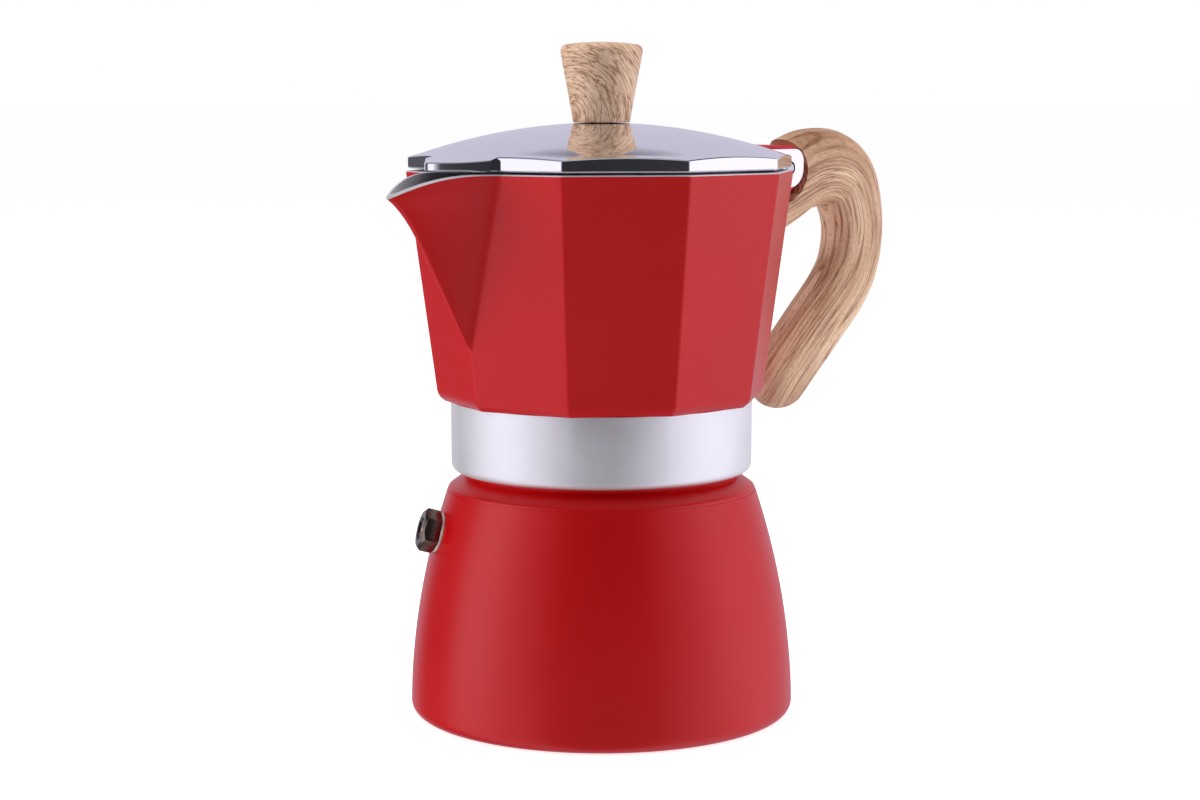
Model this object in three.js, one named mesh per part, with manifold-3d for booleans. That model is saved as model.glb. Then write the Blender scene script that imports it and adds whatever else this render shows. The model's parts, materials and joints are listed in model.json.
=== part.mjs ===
// Stovetop moka pot for three cups: a red boiler, a ten-sided coffee jug that screws onto it, a hinged
// lid and a wooden handle and knob. Millimetres, +Z up, origin on the pot's axis at the boiler's underside.
// The spout points along -X and the handle along +X.

import * as THREE from 'three';
import { mergeVertices } from 'three/addons/utils/BufferGeometryUtils.js';
import Module from 'manifold-3d';

const wasm = await Module();
wasm.setup();

// ---------------------------------------------------------------- driving dimensions

const GAP = 0.3;                  // between two pieces that touch or run in each other
const ROUND = 48;                 // facets of a large round wall
const SMALL_ROUND = 16;           // facets of a pin, bore or screw

// Boiler
const BASE_R = 45;
const BASE_FILLET = 3;
const SHOULDER_Z = 53.3;
const SHOULDER_LEDGE = 4.4;       // shoulder corner, out from the neck
const SHOULDER_RISE = 2.5;
const NECK_R = 31.6;              // root of the thread
const NECK_WALL = 4.4;
const NECK_HEIGHT = 14.7;         // shoulder corner to the neck's top
const BOILER_WALL = 3;
const BOILER_FLOOR = 4;

// Thread between boiler and jug
const THREAD_PITCH = 3;
const THREAD_DEPTH = 0.9;
const THREAD_ROOT_WIDTH = 1.6;
const THREAD_CREST_WIDTH = 0.8;
const THREAD_TURNS = 1.6;

// Coffee funnel and its strainer
const FUNNEL_SHEET = 0.8;
const BASKET_DEPTH = 18;          // flange to the strainer's ledge
const BASKET_CLEARANCE = 0.6;     // basket in the boiler's neck
const FLANGE_SETBACK = 1.1;       // flange's edge inside the neck's
const FUNNEL_CONE = 7;            // height of the cone under the strainer
const STEM_R = 4.2;
const STEM_CLEARANCE = 1.8;       // stem's end above the boiler's floor
const STRAINER_SHEET = 0.6;
const HOLE_R = 1.2;
const HOLE_RINGS = [[0, 1], [0.36, 6], [0.72, 12]];   // share of the disc's radius, holes in the ring
const HOLE_SIDES = 6;

// Gasket and filter plate
const GASKET_WIDTH = 6.9;
const GASKET_THICK = 2;
const FILTER_LAP = 2.7;           // filter plate's edge over the gasket
const FILTER_SHEET = 0.8;

// Jug: collar, ten-sided body and inside
const SIDES = 10;
const COLLAR_WALL = 2.4;
const COLLAR_FILLET = 2;
const COLLAR_LIFT = 4;            // collar's edge above the shoulder corner
const COLLAR_HEIGHT = 16.5;
const FOOT_OVERHANG = 1.63;       // foot's corners past a ten-sided collar
const JUG_FLARE = 6.69;           // rim's corners past the foot's
const JUG_HEIGHT = 53.5;
const FOOT_RISE = 3.4;
const JUG_WALL = 2.4;
const JUG_FLOOR = 3.7;
const CONE_RISE = 10;             // floor's rise to the riser column
const COLUMN_R = 4.6;
const COLUMN_BORE = 2.6;
const COLUMN_SPIGOT = 4;
const COLUMN_DROP = 9.3;          // column's top below the rim

// Spout
const SPOUT_DEPTH = 39.8;         // crease's foot below the rim
const SPOUT_REACH = 17.8;         // tip beyond the rim's corner
const SPOUT_DROP = 5.1;           // tip below the rim
const SPOUT_WALL = 1.6;
const SPOUT_TIP_WALL = 0.7;
const SPOUT_TIP_HALF = 1.2;
const SPOUT_SPREAD = 0.626;       // half-width grows by SPREAD x distance ^ POWER behind the tip
const SPOUT_POWER = 0.919;
const KEEL_RUN = 13;              // straight stretch of the keel
const KEEL_RISE = 22.5;
const KEEL_ROUNDING = 1.15;       // 1 is a sharp V

// Lid hinge
const HINGE_OUT = 9.67;           // pin beyond the rim's corner
const PIN_R = 1.5;
const LUG_HALF = 5.9;
const LUG_R = 6.6;
const RECESS_R = 8.7;            // hollow in the handle behind the lug
const LUG_TOP = 5.5;              // above the pin
const LUG_BACK = 12;              // lug's front edge from the pin
const EAR_THICK = 2.5;
const EAR_GAP = 0.4;
const EAR_R = 4.7;
const EAR_RISE = 3.6;             // above the lid's edge
const PIN_DROP = 0.7;             // pin's axis below the rim

// Lid
const LID_INSET = 0.53;           // lid's corners inside the rim's
const LID_EDGE = 3.14;            // skirt's height at the middle of a side
const LID_BULGE = 0.004;          // dome falls by BULGE x radius squared
const LID_SHEET = 1.6;
const LID_NOTCH = 2.5;            // notch's edge in front of the lug
const BEAK_HALF = 10;
const BEAK_OUT = 7.5;             // tip beyond the lid's corner
const BEAK_THICK = 1.7;

// Knob
const KNOB_FOOT_R = 6.64;
const KNOB_TOP_R = 9.5;
const KNOB_HEIGHT = 17.7;
const KNOB_ROUNDING = 1.5;
const INSERT_R = 3.4;
const INSERT_LENGTH = 9;

// Screws
const SCREW_R = 1.75;
const SCREW_HEAD_R = 3.3;
const SCREW_HEAD = 2;
const WASHER_R = 4;
const WASHER_THICK = 0.7;

// Handle, in the X-Z plane, from the hinge pin
const HANDLE_HALF = 6.8;          // half-width
const HANDLE_SQUARENESS = 2.5;    // 2 is an ellipse
const HANDLE_PATH = [             // x and z from the pin, half-thickness
  [-16, -11.5, 10.8], [0, -6, 10.6], [8, -3, 10.2], [15, -0.6, 9.9], [23.2, -0.6, 9.6], [29.6, -4.6, 9.5],
  [32.9, -14, 8.5], [31.8, -23.9, 8.2], [27.2, -31.7, 8.1], [16.9, -41.6, 7.9], [5.2, -52.7, 7.6],
];
const TOE_GAP = 0.6;
const TANG_REACH = 17;            // tang's end from the pin
const TANG_HALF = 3.5;
const TANG_LOW = -5.6;            // from the pin
const TANG_HIGH = 3.4;
const SCREW_OUT = 12.5;           // handle screw from the pin
const SCREW_LEDGE = 1.7;

// Safety valve, along its own axis from the boiler's wall
const VALVE_Z = 43.5;
const VALVE_ANGLE = 150;          // degrees about +Z from the handle
const VALVE_ROLL = 10;            // degrees about its own axis
const VALVE_FLATS = 8.8;
const VALVE_HEX = 3.7;
const VALVE_SHANK_R = 3.6;
const VALVE_SHANK = 5;
const VALVE_BORE = 2.6;
const VALVE_SEAT_BORE = 1.5;
const VALVE_SEAT = 1.6;
const SPOT_FACE = 0.6;
const SPOT_MARGIN = 0.4;          // spot face past the hexagon's corners
const VALVE_WASHER = 0.5;
const PLUNGER_R = 2.2;
const PLUNGER_HEAD = 1.2;
const PLUNGER_STEM_R = 0.8;
const RETAINER = 0.8;
const SPRING_WIRE_R = 0.3;
const SPRING_TURNS = 5;

// ---------------------------------------------------------------- places that follow from them

const NECK_TOP = SHOULDER_Z + NECK_HEIGHT;
const NECK_BORE = NECK_R - NECK_WALL;
const SHOULDER_R = NECK_R + SHOULDER_LEDGE;
const THREAD_R = NECK_R + THREAD_DEPTH;
const COLLAR_BORE = THREAD_R + GAP;
const COLLAR_R = COLLAR_BORE + COLLAR_WALL;
const COLLAR_Z = SHOULDER_Z + COLLAR_LIFT;
const FLANGE_R = NECK_R - FLANGE_SETBACK;
const FLANGE_Z = NECK_TOP + GAP;
const GASKET_R = COLLAR_BORE - 2 * GAP;
const GASKET_BORE = GASKET_R - GASKET_WIDTH;
const FILTER_R = GASKET_BORE + FILTER_LAP;
const GASKET_Z = FLANGE_Z + FUNNEL_SHEET + GAP;
const FILTER_Z = GASKET_Z + GASKET_THICK + GAP;
const CEILING_Z = FILTER_Z + FILTER_SHEET + GAP;
const STRAINER_Z = FLANGE_Z + FUNNEL_SHEET - BASKET_DEPTH;
const BASKET_R = NECK_BORE - BASKET_CLEARANCE;
const FACET_SHARE = Math.cos(Math.PI / SIDES);       // middle of a side over its corner
const JUG_FOOT_R = COLLAR_R / FACET_SHARE + FOOT_OVERHANG;
const JUG_RIM_R = JUG_FOOT_R + JUG_FLARE;
const LID_R = JUG_RIM_R - LID_INSET;
const JUG_Z = COLLAR_Z + COLLAR_HEIGHT;
const JUG_FOOT_Z = JUG_Z + FOOT_RISE;
const RIM_Z = JUG_Z + JUG_HEIGHT;
const FLOOR_Z = CEILING_Z + JUG_FLOOR;
const CONE_TOP_Z = FLOOR_Z + CONE_RISE;
const PIN_X = JUG_RIM_R + HINGE_OUT;
const PIN_Z = RIM_Z - PIN_DROP;
const LID_Z = RIM_Z + GAP;
const DOME_Z = LID_Z + LID_EDGE + LID_BULGE * (LID_R * FACET_SHARE) ** 2;
const LEAN = (JUG_RIM_R - JUG_FOOT_R) / (RIM_Z - JUG_FOOT_Z);
const FAR = 200;                                      // past every piece

const boilerRadius = (z) => BASE_R - (BASE_R - SHOULDER_R) * (z / SHOULDER_Z) ** 2;
const jugRadius = (z) => JUG_FOOT_R + LEAN * (z - JUG_FOOT_Z);
const domeHeight = (r) => DOME_Z - LID_BULGE * r * r;

// ---------------------------------------------------------------- solids

function bareGeometry(geometry) {
  const bare = geometry.clone();
  bare.deleteAttribute('normal');
  bare.deleteAttribute('uv');
  return mergeVertices(bare, 1e-4);
}

function signedVolume(position, triangles) {
  const [a, b, c] = [new THREE.Vector3(), new THREE.Vector3(), new THREE.Vector3()];
  let volume = 0;
  for (let i = 0; i < triangles.length; i += 3) {
    a.fromBufferAttribute(position, triangles[i]);
    b.fromBufferAttribute(position, triangles[i + 1]);
    c.fromBufferAttribute(position, triangles[i + 2]);
    volume += a.dot(b.cross(c)) / 6;
  }
  return volume;
}

// A closed geometry as a manifold solid, with its faces pointing out.
function solid(geometry) {
  const bare = bareGeometry(geometry);
  const index = bare.index.array;
  const triangles = [];
  for (let i = 0; i < index.length; i += 3) {
    const [a, b, c] = [index[i], index[i + 1], index[i + 2]];
    if (a !== b && b !== c && c !== a) triangles.push(a, b, c);
  }
  const inward = signedVolume(bare.attributes.position, triangles) < 0;
  if (inward) triangles.reverse();
  return new wasm.Manifold(new wasm.Mesh({
    numProp: 3,
    vertProperties: new Float32Array(bare.attributes.position.array),
    triVerts: new Uint32Array(triangles),
  }));
}

const union = (first, ...others) => others.reduce((sum, next) => sum.add(next), first);
const cut = (body, ...tools) => tools.reduce((rest, tool) => rest.subtract(tool), body);

// A body of revolution about Z from [radius, z] points; a ten-sided one has its corners on the X axis.
function lathe(points, sides = ROUND) {
  const profile = points.map(([r, z]) => new THREE.Vector2(r, z));
  profile.push(profile[0].clone());
  const geometry = new THREE.LatheGeometry(profile, sides, Math.PI / 2);
  return solid(geometry.rotateX(Math.PI / 2));
}

const rod = (r, low, high, sides = SMALL_ROUND) => lathe([[0, low], [r, low], [r, high], [0, high]], sides);
const tube = (bore, r, low, high, sides = SMALL_ROUND) =>
  lathe([[bore, low], [r, low], [r, high], [bore, high]], sides);

function box(x0, x1, halfY, z0, z1) {
  const geometry = new THREE.BoxGeometry(x1 - x0, 2 * halfY, z1 - z0);
  return solid(geometry.translate((x0 + x1) / 2, 0, (z0 + z1) / 2));
}

// A rod along Y through x, z.
function crossRod(r, halfLength, x, z, sides = SMALL_ROUND) {
  return solid(new THREE.CylinderGeometry(r, r, 2 * halfLength, sides).translate(x, 0, z));
}

// An outline in the X-Z plane with its thickness along Y.
function slabXZ(shape, halfY, curveSegments = 10) {
  const geometry = new THREE.ExtrudeGeometry(shape, { depth: 2 * halfY, bevelEnabled: false, curveSegments });
  return solid(geometry.rotateX(Math.PI / 2).translate(0, halfY, 0));
}

// A skin over closed sections with equal numbers of points, capped at both ends.
function loft(sections) {
  const count = sections[0].length;
  const ends = [sections[0], sections[sections.length - 1]];
  const middle = (ring) => ring.reduce((sum, p) => sum.add(p), new THREE.Vector3()).divideScalar(count);
  const centres = ends.map(middle);
  const points = [...sections.flat(), ...centres];
  const triangles = [];
  for (let s = 0; s < sections.length - 1; s += 1) {
    for (let i = 0; i < count; i += 1) {
      const a = s * count + i;
      const b = s * count + (i + 1) % count;
      triangles.push(a, b, a + count, b, b + count, a + count);
    }
  }
  const last = (sections.length - 1) * count;
  const firstCentre = sections.length * count;
  for (let i = 0; i < count; i += 1) {
    const next = (i + 1) % count;
    triangles.push(firstCentre, next, i, firstCentre + 1, last + i, last + next);
  }
  const geometry = new THREE.BufferGeometry().setFromPoints(points);
  geometry.setIndex(triangles);
  return solid(geometry);
}

// A quarter round between two directions, as [radius, z] points.
function fillet(centreR, centreZ, r, fromDegrees, toDegrees, steps = 4) {
  return Array.from({ length: steps + 1 }, (_, i) => {
    const angle = THREE.MathUtils.degToRad(fromDegrees + (toDegrees - fromDegrees) * i / steps);
    return [centreR + r * Math.cos(angle), centreZ + r * Math.sin(angle)];
  });
}

// A right-hand helical ridge between two radii, wide at rootR and narrow at crestR.
function threadRidge(rootR, crestR, startZ, startAngle, turns) {
  const steps = Math.round(turns * ROUND);
  const sections = Array.from({ length: steps + 1 }, (_, i) => {
    const turn = turns * i / steps;
    const angle = startAngle + 2 * Math.PI * turn;
    const z = startZ + THREAD_PITCH * turn;
    const corner = (r, dz) => new THREE.Vector3(r * Math.cos(angle), r * Math.sin(angle), z + dz);
    const [root, crest] = [THREAD_ROOT_WIDTH / 2, THREAD_CREST_WIDTH / 2];
    return [corner(rootR, -root), corner(crestR, -crest), corner(crestR, crest), corner(rootR, root)];
  });
  return loft(sections);
}

// ---------------------------------------------------------------- materials and the group

const enamel = { color: 0xc02028, roughness: 0.45, metalness: 0.1 };
const castAluminium = { color: 0xc4c6ca, roughness: 0.35, metalness: 0.9 };
const polished = { color: 0xd8dade, roughness: 0.12, metalness: 1 };
const steel = { color: 0xb0b2b6, roughness: 0.3, metalness: 1 };
const darkSteel = { color: 0x5d5348, roughness: 0.35, metalness: 0.9 };
const brass = { color: 0xb98d4a, roughness: 0.35, metalness: 0.9 };
const wood = { color: 0xb98d63, roughness: 0.55, metalness: 0 };
const silicone = { color: 0xe6e4dc, roughness: 0.7, metalness: 0 };

const mokaPot = new THREE.Group();

function addPiece(name, body, look, parent = mokaPot) {
  const { vertProperties, triVerts } = body.getMesh();
  const geometry = new THREE.BufferGeometry();
  geometry.setAttribute('position', new THREE.BufferAttribute(vertProperties, 3));
  geometry.setIndex(new THREE.BufferAttribute(triVerts, 1));
  geometry.computeVertexNormals();
  const mesh = new THREE.Mesh(geometry, new THREE.MeshStandardMaterial(look));
  mesh.name = name;
  parent.add(mesh);
}

// ---------------------------------------------------------------- safety valve's place

const valveSlope = 2 * (BASE_R - SHOULDER_R) * VALVE_Z / SHOULDER_Z ** 2;
const valveTurn = THREE.MathUtils.degToRad(VALVE_ANGLE);
const valveAxis = new THREE.Vector3(Math.cos(valveTurn), Math.sin(valveTurn), valveSlope).normalize();
const valve = new THREE.Group();
valve.position.set(
  boilerRadius(VALVE_Z) * Math.cos(valveTurn),
  boilerRadius(VALVE_Z) * Math.sin(valveTurn),
  VALVE_Z,
);
valve.quaternion.setFromUnitVectors(new THREE.Vector3(0, 0, 1), valveAxis);
valve.updateMatrixWorld();
mokaPot.add(valve);

const spotFaceR = VALVE_FLATS / 2 / Math.cos(Math.PI / 6) + SPOT_MARGIN;
const valvePlace = valve.matrixWorld;

function valveHole() {
  const points = [
    [0, -FAR / 10], [VALVE_SHANK_R + GAP, -FAR / 10], [VALVE_SHANK_R + GAP, -SPOT_FACE],
    [spotFaceR, -SPOT_FACE], [spotFaceR, SPOT_FACE], [0, SPOT_FACE],
  ];
  const profile = [...points, points[0]].map(([r, z]) => new THREE.Vector2(r, z));
  const geometry = new THREE.LatheGeometry(profile, SMALL_ROUND).rotateX(Math.PI / 2);
  return solid(geometry.applyMatrix4(valvePlace));
}

// ---------------------------------------------------------------- boiler

const MALE_Z = SHOULDER_Z + 6.9;      // middle of the thread's first turn

function boilerWall(inset, low, high, steps) {
  return Array.from({ length: steps + 1 }, (_, i) => {
    const z = low + (high - low) * i / steps;
    return [boilerRadius(z) - inset, z];
  });
}

function makeBoiler() {
  const neckFoot = [NECK_R + THREAD_DEPTH, SHOULDER_Z + SHOULDER_RISE];
  const innerTop = SHOULDER_Z - BOILER_WALL;
  const outside = [
    [0, 0],
    ...fillet(boilerRadius(BASE_FILLET) - BASE_FILLET, BASE_FILLET, BASE_FILLET, -90, 0),
    ...boilerWall(0, BASE_FILLET * 2, SHOULDER_Z, 7),
    neckFoot,
    [neckFoot[0], neckFoot[1] + 1.2],
    [NECK_R, neckFoot[1] + 1.8],
    [NECK_R, NECK_TOP],
    [0, NECK_TOP],
  ];
  const inside = [
    [0, BOILER_FLOOR],
    [boilerRadius(BOILER_FLOOR) - BOILER_WALL - 2, BOILER_FLOOR],
    ...boilerWall(BOILER_WALL, BOILER_FLOOR + 2, innerTop, 4),
    [NECK_BORE, SHOULDER_Z + SHOULDER_RISE - 1],
    [NECK_BORE, FAR],
    [0, FAR],
  ];
  const ridge = threadRidge(NECK_R - GAP, THREAD_R, MALE_Z, 0, THREAD_TURNS);
  return cut(union(lathe(outside), ridge), lathe(inside), valveHole());
}

addPiece('boiler', makeBoiler(), enamel);

// ---------------------------------------------------------------- safety valve

const hexFoot = VALVE_WASHER + GAP - SPOT_FACE + GAP;
const hexEnd = hexFoot + VALVE_HEX;
const shankEnd = -BOILER_WALL - VALVE_SHANK / 2;
const seatTop = shankEnd + VALVE_SEAT;
const retainerLow = hexEnd - RETAINER - 0.4;

function hexPrism(low, high) {
  const r = VALVE_FLATS / 2 / Math.cos(Math.PI / 6);
  const geometry = new THREE.CylinderGeometry(r, r, high - low, 6).rotateX(Math.PI / 2);
  geometry.rotateZ(THREE.MathUtils.degToRad(VALVE_ROLL));
  const prism = solid(geometry.translate(0, 0, (low + high) / 2));
  const chamfer = lathe([[0, low], [r + 1, low], [r + 1, high - 1.4], [r - 1, high], [0, high]], SMALL_ROUND);
  return prism.intersect(chamfer);
}

function makeValveBody() {
  const outer = union(hexPrism(hexFoot, hexEnd), rod(VALVE_SHANK_R, shankEnd, hexFoot + 1));
  return cut(outer, rod(VALVE_SEAT_BORE, -FAR, FAR), rod(VALVE_BORE, seatTop, FAR));
}

function makePlunger() {
  const headLow = seatTop + GAP;
  return union(
    rod(PLUNGER_R, headLow, headLow + PLUNGER_HEAD),
    rod(PLUNGER_STEM_R, headLow + PLUNGER_HEAD / 2, hexEnd - 0.2),
  );
}

class Helix extends THREE.Curve {
  constructor(r, low, high, turns) {
    super();
    Object.assign(this, { r, low, high, turns });
  }

  getPoint(t, target = new THREE.Vector3()) {
    const angle = 2 * Math.PI * this.turns * t;
    const z = THREE.MathUtils.lerp(this.low, this.high, t);
    return target.set(this.r * Math.cos(angle), this.r * Math.sin(angle), z);
  }
}

function makeSpring() {
  const low = seatTop + GAP + PLUNGER_HEAD + GAP + SPRING_WIRE_R;
  const high = retainerLow - GAP - SPRING_WIRE_R;
  const coilR = (VALVE_BORE + PLUNGER_STEM_R) / 2;
  const wire = new THREE.Shape(ringPoints(SPRING_WIRE_R, 5));
  const extrudePath = new Helix(coilR, low, high, SPRING_TURNS);
  const steps = SPRING_TURNS * 10;
  return solid(new THREE.ExtrudeGeometry(wire, { steps, extrudePath, bevelEnabled: false }));
}

function ringPoints(r, sides, x = 0, y = 0) {
  return Array.from({ length: sides }, (_, i) => {
    const angle = 2 * Math.PI * i / sides;
    return new THREE.Vector2(x + r * Math.cos(angle), y + r * Math.sin(angle));
  });
}

const washerLow = GAP - SPOT_FACE;
const washerRing = tube(VALVE_SHANK_R + GAP, VALVE_FLATS / 2 + GAP, washerLow, washerLow + VALVE_WASHER);
const retainerRing = tube(PLUNGER_STEM_R + GAP, VALVE_BORE - GAP, retainerLow, retainerLow + RETAINER);
addPiece('valve_washer', washerRing, silicone, valve);
addPiece('valve_body', makeValveBody(), darkSteel, valve);
addPiece('valve_plunger', makePlunger(), brass, valve);
addPiece('valve_spring', makeSpring(), steel, valve);
addPiece('valve_retainer', retainerRing, steel, valve);

// ---------------------------------------------------------------- funnel, strainer, gasket, filter plate

function makeFunnel() {
  const ledge = STRAINER_Z - GAP;
  const coneEnd = ledge - FUNNEL_CONE;
  const stemEnd = BOILER_FLOOR + STEM_CLEARANCE;
  return lathe([
    [BASKET_R - FUNNEL_SHEET, FLANGE_Z + FUNNEL_SHEET],
    [BASKET_R - FUNNEL_SHEET, ledge],
    [BASKET_R - 3 * FUNNEL_SHEET, ledge],
    [STEM_R - FUNNEL_SHEET, coneEnd],
    [STEM_R - FUNNEL_SHEET, stemEnd],
    [STEM_R, stemEnd],
    [STEM_R, coneEnd - FUNNEL_SHEET / 2],
    [BASKET_R, ledge - FUNNEL_SHEET],
    [BASKET_R, FLANGE_Z],
    [FLANGE_R, FLANGE_Z],
    [FLANGE_R, FLANGE_Z + FUNNEL_SHEET],
  ]);
}

function perforatedDisc(r, low, thickness) {
  const disc = new THREE.Shape(ringPoints(r, ROUND));
  for (const [share, count] of HOLE_RINGS) {
    for (const centre of ringPoints(r * share, count)) {
      disc.holes.push(new THREE.Path(ringPoints(HOLE_R, HOLE_SIDES, centre.x, centre.y).reverse()));
    }
  }
  const geometry = new THREE.ExtrudeGeometry(disc, { depth: thickness, bevelEnabled: false });
  return solid(geometry.translate(0, 0, low));
}

addPiece('funnel', makeFunnel(), castAluminium);
addPiece('funnel_strainer', perforatedDisc(BASKET_R - FUNNEL_SHEET - GAP, STRAINER_Z, STRAINER_SHEET), steel);
addPiece('gasket', tube(GASKET_BORE, GASKET_R, GASKET_Z, GASKET_Z + GASKET_THICK, ROUND), silicone);
addPiece('filter_plate', perforatedDisc(FILTER_R, FILTER_Z, FILTER_SHEET), steel);

// ---------------------------------------------------------------- jug

function jugBody(offset) {
  const corner = offset / FACET_SHARE;
  return lathe([
    [0, JUG_Z],
    [COLLAR_R / FACET_SHARE - 0.4 + corner, JUG_Z],
    [(COLLAR_R / FACET_SHARE + JUG_FOOT_R) / 2 + 0.4 + corner, JUG_Z + FOOT_RISE * 0.35],
    [JUG_FOOT_R + corner, JUG_FOOT_Z],
    [JUG_RIM_R + corner, RIM_Z],
    [0, RIM_Z],
  ], SIDES);
}

function jugInside() {
  const wall = JUG_WALL / FACET_SHARE;
  const foot = FLOOR_Z + 2;
  return lathe([
    [0, CONE_TOP_Z],
    [COLUMN_R + 2, CONE_TOP_Z],
    [COLUMN_R + 8, FLOOR_Z + CONE_RISE * 0.3],
    [jugRadius(foot) - wall - 8, FLOOR_Z],
    [jugRadius(foot) - wall - 2, FLOOR_Z],
    [jugRadius(foot) - wall, foot],
    [jugRadius(RIM_Z + 5) - wall, RIM_Z + 5],
    [0, RIM_Z + 5],
  ], SIDES);
}

function collarBody() {
  return lathe([
    [0, COLLAR_Z],
    ...fillet(COLLAR_R - COLLAR_FILLET, COLLAR_Z + COLLAR_FILLET, COLLAR_FILLET, -90, 0, 3),
    [COLLAR_R, JUG_Z + 1],
    [0, JUG_Z + 1],
  ]);
}

// Bore for the neck, seats for gasket and filter plate, and the coffee's way up into the column.
function collarInside() {
  const seat = FILTER_Z;
  const collector = CEILING_Z + 0.8;
  return lathe([
    [0, COLLAR_Z - 1],
    [COLLAR_BORE, COLLAR_Z - 1],
    [COLLAR_BORE, seat],
    [FILTER_R + GAP, seat],
    [FILTER_R + GAP, CEILING_Z],
    [FILTER_R - 2, CEILING_Z],
    [COLUMN_R + 8, collector],
    [COLUMN_BORE + 0.4, CONE_TOP_Z - COLUMN_SPIGOT - GAP],
    [COLUMN_R - 1 + GAP, CONE_TOP_Z - COLUMN_SPIGOT - GAP],
    [COLUMN_R - 1 + GAP, CONE_TOP_Z + 1],
    [0, CONE_TOP_Z + 1],
  ]);
}

// The spout's keel in the X-Z plane as distance from the axis and height: straight, then curling out.
function spoutKeel() {
  const footZ = RIM_Z - SPOUT_DEPTH;
  const footR = jugRadius(footZ);
  const slope = KEEL_RISE / KEEL_RUN;
  const bend = new THREE.Vector2(footR + KEEL_RUN, footZ + KEEL_RISE);
  const tip = new THREE.Vector2(JUG_RIM_R + SPOUT_REACH, RIM_Z - SPOUT_DROP - SPOUT_TIP_WALL);
  const reach = tip.x - bend.x;
  const curl = new THREE.CubicBezierCurve(
    bend,
    new THREE.Vector2(bend.x + 0.27 * reach, bend.y + 0.27 * reach * slope),
    new THREE.Vector2(tip.x - 0.4 * reach, tip.y - 0.4 * reach * 0.66),
    tip,
  );
  const inner = new THREE.Vector2(footR - 4, footZ - 4 * slope);
  const straight = new THREE.LineCurve(inner, bend);
  return [
    ...straight.getPoints(4).slice(0, 4).map((point) => ({ point, slope })),
    ...curl.getPoints(6).map((point, i) => {
      const tangent = curl.getTangent(i / 6);
      return { point, slope: tangent.y / tangent.x };
    }),
  ];
}

function spoutSolid(hollow) {
  const tipR = JUG_RIM_R + SPOUT_REACH;
  const above = hollow ? 6 : 0;
  const sections = spoutKeel().map(({ point, slope }) => {
    const out = THREE.MathUtils.clamp((point.x - JUG_RIM_R) / SPOUT_REACH, 0, 1);
    const wall = hollow ? THREE.MathUtils.lerp(SPOUT_WALL, SPOUT_TIP_WALL, out) : 0;
    const lip = RIM_Z - SPOUT_DROP * out ** 2;
    const keel = point.y + wall * Math.hypot(1, slope);
    const half = Math.max(SPOUT_TIP_HALF + SPOUT_SPREAD * (tipR - point.x) ** SPOUT_POWER - wall, 0.4);
    const depth = Math.max(lip - keel, 0.1);
    const place = (y, z) => new THREE.Vector3(-point.x, y, z);
    const vee = Array.from({ length: 9 }, (_, i) => {
      const share = i / 4 - 1;
      return place(half * share, keel + depth * Math.abs(share) ** KEEL_ROUNDING);
    });
    return hollow ? [...vee, place(half, keel + depth + above), place(-half, keel + depth + above)] : vee;
  });
  if (hollow) {
    sections.push(sections[sections.length - 1].map((p) => p.clone().add(new THREE.Vector3(-3, 0, 0))));
  }
  return loft(sections);
}

// The lug that carries the hinge pin, with the tang that the handle slides over.
function hingeLug() {
  const shape = new THREE.Shape();
  const inside = jugRadius(PIN_Z - LUG_R) - JUG_WALL / 2;
  const front = PIN_X - LUG_BACK;
  const top = PIN_Z + LUG_TOP;
  const topAngle = Math.asin(LUG_TOP / LUG_R);
  shape.moveTo(inside, PIN_Z - LUG_R);
  shape.lineTo(PIN_X, PIN_Z - LUG_R);
  shape.absarc(PIN_X, PIN_Z, LUG_R, -Math.PI / 2, topAngle, false);
  shape.lineTo(front + 2, top);
  shape.lineTo(front, top - 2);
  shape.lineTo(front, RIM_Z - 3);
  shape.lineTo(inside, RIM_Z - 6);
  const tang = box(PIN_X, PIN_X + TANG_REACH, TANG_HALF, PIN_Z + TANG_LOW, PIN_Z + TANG_HIGH);
  return union(slabXZ(shape, LUG_HALF), tang);
}

function makeJug() {
  const female = threadRidge(
    COLLAR_BORE + GAP, COLLAR_BORE - THREAD_DEPTH,
    MALE_Z + THREAD_PITCH / 2, 0, THREAD_TURNS,
  );
  const outside = union(jugBody(0), collarBody(), spoutSolid(false));
  const shell = cut(outside, jugInside(), spoutSolid(true), collarInside());
  const pinBore = crossRod(PIN_R + GAP, FAR, PIN_X, PIN_Z);
  const screwBore = rod(SCREW_R + GAP, PIN_Z - FAR, PIN_Z + TANG_HIGH - 1.5)
    .translate(PIN_X + SCREW_OUT, 0, 0);
  return cut(union(shell, female, hingeLug()), pinBore, screwBore);
}

function makeColumn() {
  const top = RIM_Z - COLUMN_DROP;
  const spigotR = COLUMN_R - 1;
  const low = CONE_TOP_Z - COLUMN_SPIGOT;
  const column = lathe([
    [COLUMN_BORE, low], [spigotR, low], [spigotR, CONE_TOP_Z + GAP], [COLUMN_R, CONE_TOP_Z + GAP],
    [COLUMN_R - 0.8, top - 1], [COLUMN_R - 1.4, top], [COLUMN_BORE, top],
  ], SMALL_ROUND);
  const cap = rod(COLUMN_R - 1.4, top - 0.6, top + 0.8);
  const outlet = crossRod(1.3, FAR, 0, top - 3.2, 12);
  return cut(union(column, cap), outlet);
}

addPiece('upper_chamber', makeJug(), enamel);
addPiece('riser_column', makeColumn(), castAluminium);

// ---------------------------------------------------------------- hinge pin and lid

const earLow = LUG_HALF + EAR_GAP;
const earHigh = earLow + EAR_THICK;
addPiece('hinge_pin', crossRod(PIN_R, earHigh, PIN_X, PIN_Z), steel);

const notchX = PIN_X - LUG_BACK - LID_NOTCH;

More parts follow.
